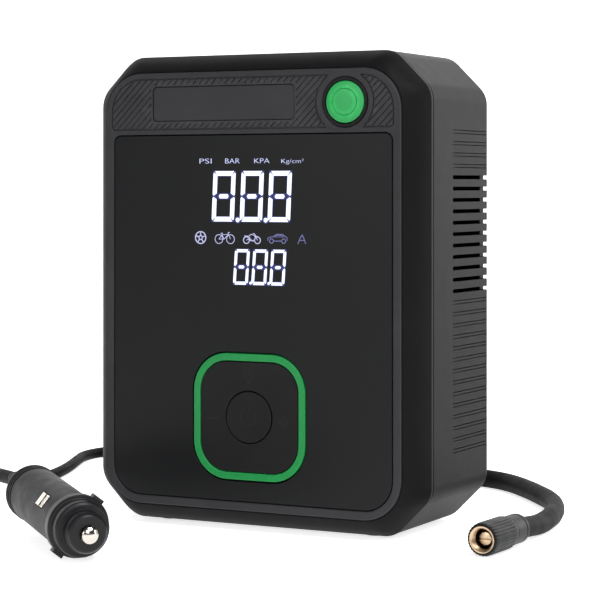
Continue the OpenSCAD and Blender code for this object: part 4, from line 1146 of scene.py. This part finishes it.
# ---------------------------------------------------------------- glands and springs
def build_glands():
    low, high = box_mm("hose_gland")
    start, reach = low.y - Y_BACK, high.y - Y_BACK
    profile = [(0, start), (2.5, start), (2.5, -3.4), (5.9, -3.4), (5.9, -5.3), (7.5, -5.3), (7.5, -2.5),
               (6.0, -2.45), (6.0, 0.02), (7.5, 0.02), (7.5, 3.7), (7.1, 4.0), (6.0, 4.0)]
    for k in range(3):
        profile += [(5.95, 4.7 + 1.7 * k), (5.45, 4.9 + 1.7 * k), (5.45, 5.6 + 1.7 * k), (5.9, 5.8 + 1.7 * k)]
    profile += [(5.8, reach), (4.2, reach), (0, reach - 0.05)]
    gland = turned("hose_outlet", profile, 0.18, 2, along_y(*front_box("hose_gland")[:2], Y_BACK), 72)
    dress(gland, "chuck_plastic", stands_for=["hose_gland"])
    reach = box_mm("cord_gland")[1].y - Y_BACK
    profile = [(0, -5.4), (5.2, -5.4), (5.2, -2.45), (4.5, -2.4), (4.5, 0.02), (6.5, 0.02), (6.5, 1.3),
               (6.2, 1.5), (4.9, 1.6)]
    for k in range(7):
        start = 2.6 + 2.9 * k
        r = 5 - 1.8 * start / reach
        profile += [(r, start), (r - 0.45, start + 0.3), (r - 0.5, start + 1.1), (r - 0.12, start + 1.4)]
    profile += [(3.2, reach - 0.3), (3.0, reach), (0, reach)]
    relief = turned("lead_strain_relief", profile, 0.15, 2, along_y(*front_box("cord_gland")[:2], Y_BACK), 72)
    dress(relief, "lead_pvc", stands_for=["cord_gland"])


def build_spring(name, node, where, r, turns, length, steps=120):
    """A spring wound up a frame's Z axis, and the first point of its wire."""
    points = []
    for i in range(steps + 1):
        turn = tau * turns * i / steps
        points.append(where @ Vector((r * cos(turn), r * sin(turn), length * i / steps)))
    spring = build(name, pipe(points, 0.4, 8))
    dress(spring, "spring_steel", stands_for=[node])
    return spring, points[0]


def build_springs():
    """The release button's spring and the plug tip's spring, each with a mesh of its own."""
    low, high = box_mm("bleed_button_spring")
    spring, _ = build_spring("release_spring", "bleed_button_spring", along_y(BLEED_X, BLEED_Z, low.y + 0.4),
                             4.2, -5, high.y - low.y - 0.8)
    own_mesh(spring)
    z0, z1 = BARREL_L + 1.0, TIP_WALL - 5.3
    spring, first = build_spring("tip_spring", "plug_tip_spring", PLUG @ Matrix.Translation((0, 0, z0)),
                                 3.2, 6, z1 - z0)
    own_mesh(spring)


build_front_cover()
build_rear_housing()
build_feet()
build_case_screws()
build_face_frame()
build_panel()
build_button()
build_light_ring()
build_pad()
build_display()
build_chuck()
build_plug()
build_glands()
build_springs()

for name, node in frame["nodes"].items():
    if node.hide_render:
        continue
    node.data.materials.clear()
    node.data.materials.append(FINISHES[SLOT_OF[name]])
    node.data.set_sharp_from_angle(angle=radians(30))


# ---------------------------------------------------------------- floor and light
VIEW_AHEAD = (-0.4608, 0.8875, 0)
AIM = Vector((0, 0, 0.1))
# Name, place, size and power of each lamp
LAMPS = [("key", (0.75, -0.35, 1.15), (0.7, 0.7), 14), ("panel_sheen", (-0.44, -1.5, 0.45), (0.6, 0.6), 5),
         ("front_fill", (0.9, -1.5, 0.9), (0.8, 0.8), 8), ("side_wash", (0.85, 1.4, 0.5), (1.0, 0.8), 9),
         ("right_strip", (1.5, 0.5, 0.35), (0.35, 0.9), 5), ("left_strip", (-0.9, 0.1, 0.3), (0.2, 1.0), 1.0),
         ("facet_wash", (0.1, 1.0, 0.85), (0.9, 0.4), 3)]


def add_floor():
    """A pale sweep: a flat floor that curves up into a backdrop, and glows more the further back it is."""
    profile = [(-3.0, 0.0), (0.9, 0.0)] + arc(0.9, 0.8, 0.8, -80, 0, 8) + [(1.7, 3.5)]
    turn = Matrix.Rotation(radians(CAMERA_YAW), 4, "Z")
    verts = [tuple(turn @ Vector((x, y, z - 0.0001))) for x in (-4.0, 4.0) for y, z in profile]
    count = len(profile)
    mesh = bpy.data.meshes.new("floor")
    mesh.from_pydata(verts, [], [(i, i + 1, count + i + 1, count + i) for i in range(count - 1)])
    n = Nodes("floor_paper")
    paper = n.mix(n.cloud(40, 3.0), (0.86, 0.86, 0.865, 1), (0.88, 0.88, 0.88, 1))
    far = n.add("VectorMath", {0: n.add("NewGeometry", {}, "Position"), 1: VIEW_AHEAD}, "Value",
                operation="DOT_PRODUCT")
    n.put(n.shader, {"Base Color": paper, "Roughness": 0.9, "Specular IOR Level": 0.1,
                     "Emission Color": (1, 1, 1, 1),
                     "Emission Strength": n.spread(far, 0.05, 0.75, -0.3, -0.17)})
    mesh.materials.append(n.material)
    mesh.shade_smooth()
    linked("floor", mesh)


def add_light():
    world = bpy.data.worlds.new("studio")
    world.use_nodes = True
    background = world.node_tree.nodes["Background"].inputs
    background["Color"].default_value = (1, 1, 1, 1)
    background["Strength"].default_value = 0.04
    SCENE.world = world
    for name, place, size, power in LAMPS:
        data = bpy.data.lights.new(name, "AREA")
        data.shape = "RECTANGLE"
        data.size, data.size_y = size
        data.energy = power
        lamp = linked(name, data)
        lamp.location = place
        lamp.rotation_euler = (AIM - Vector(place)).to_track_quat("-Z", "Y").to_euler()


add_floor()
add_light()
SCENE.view_settings.view_transform = "Standard"
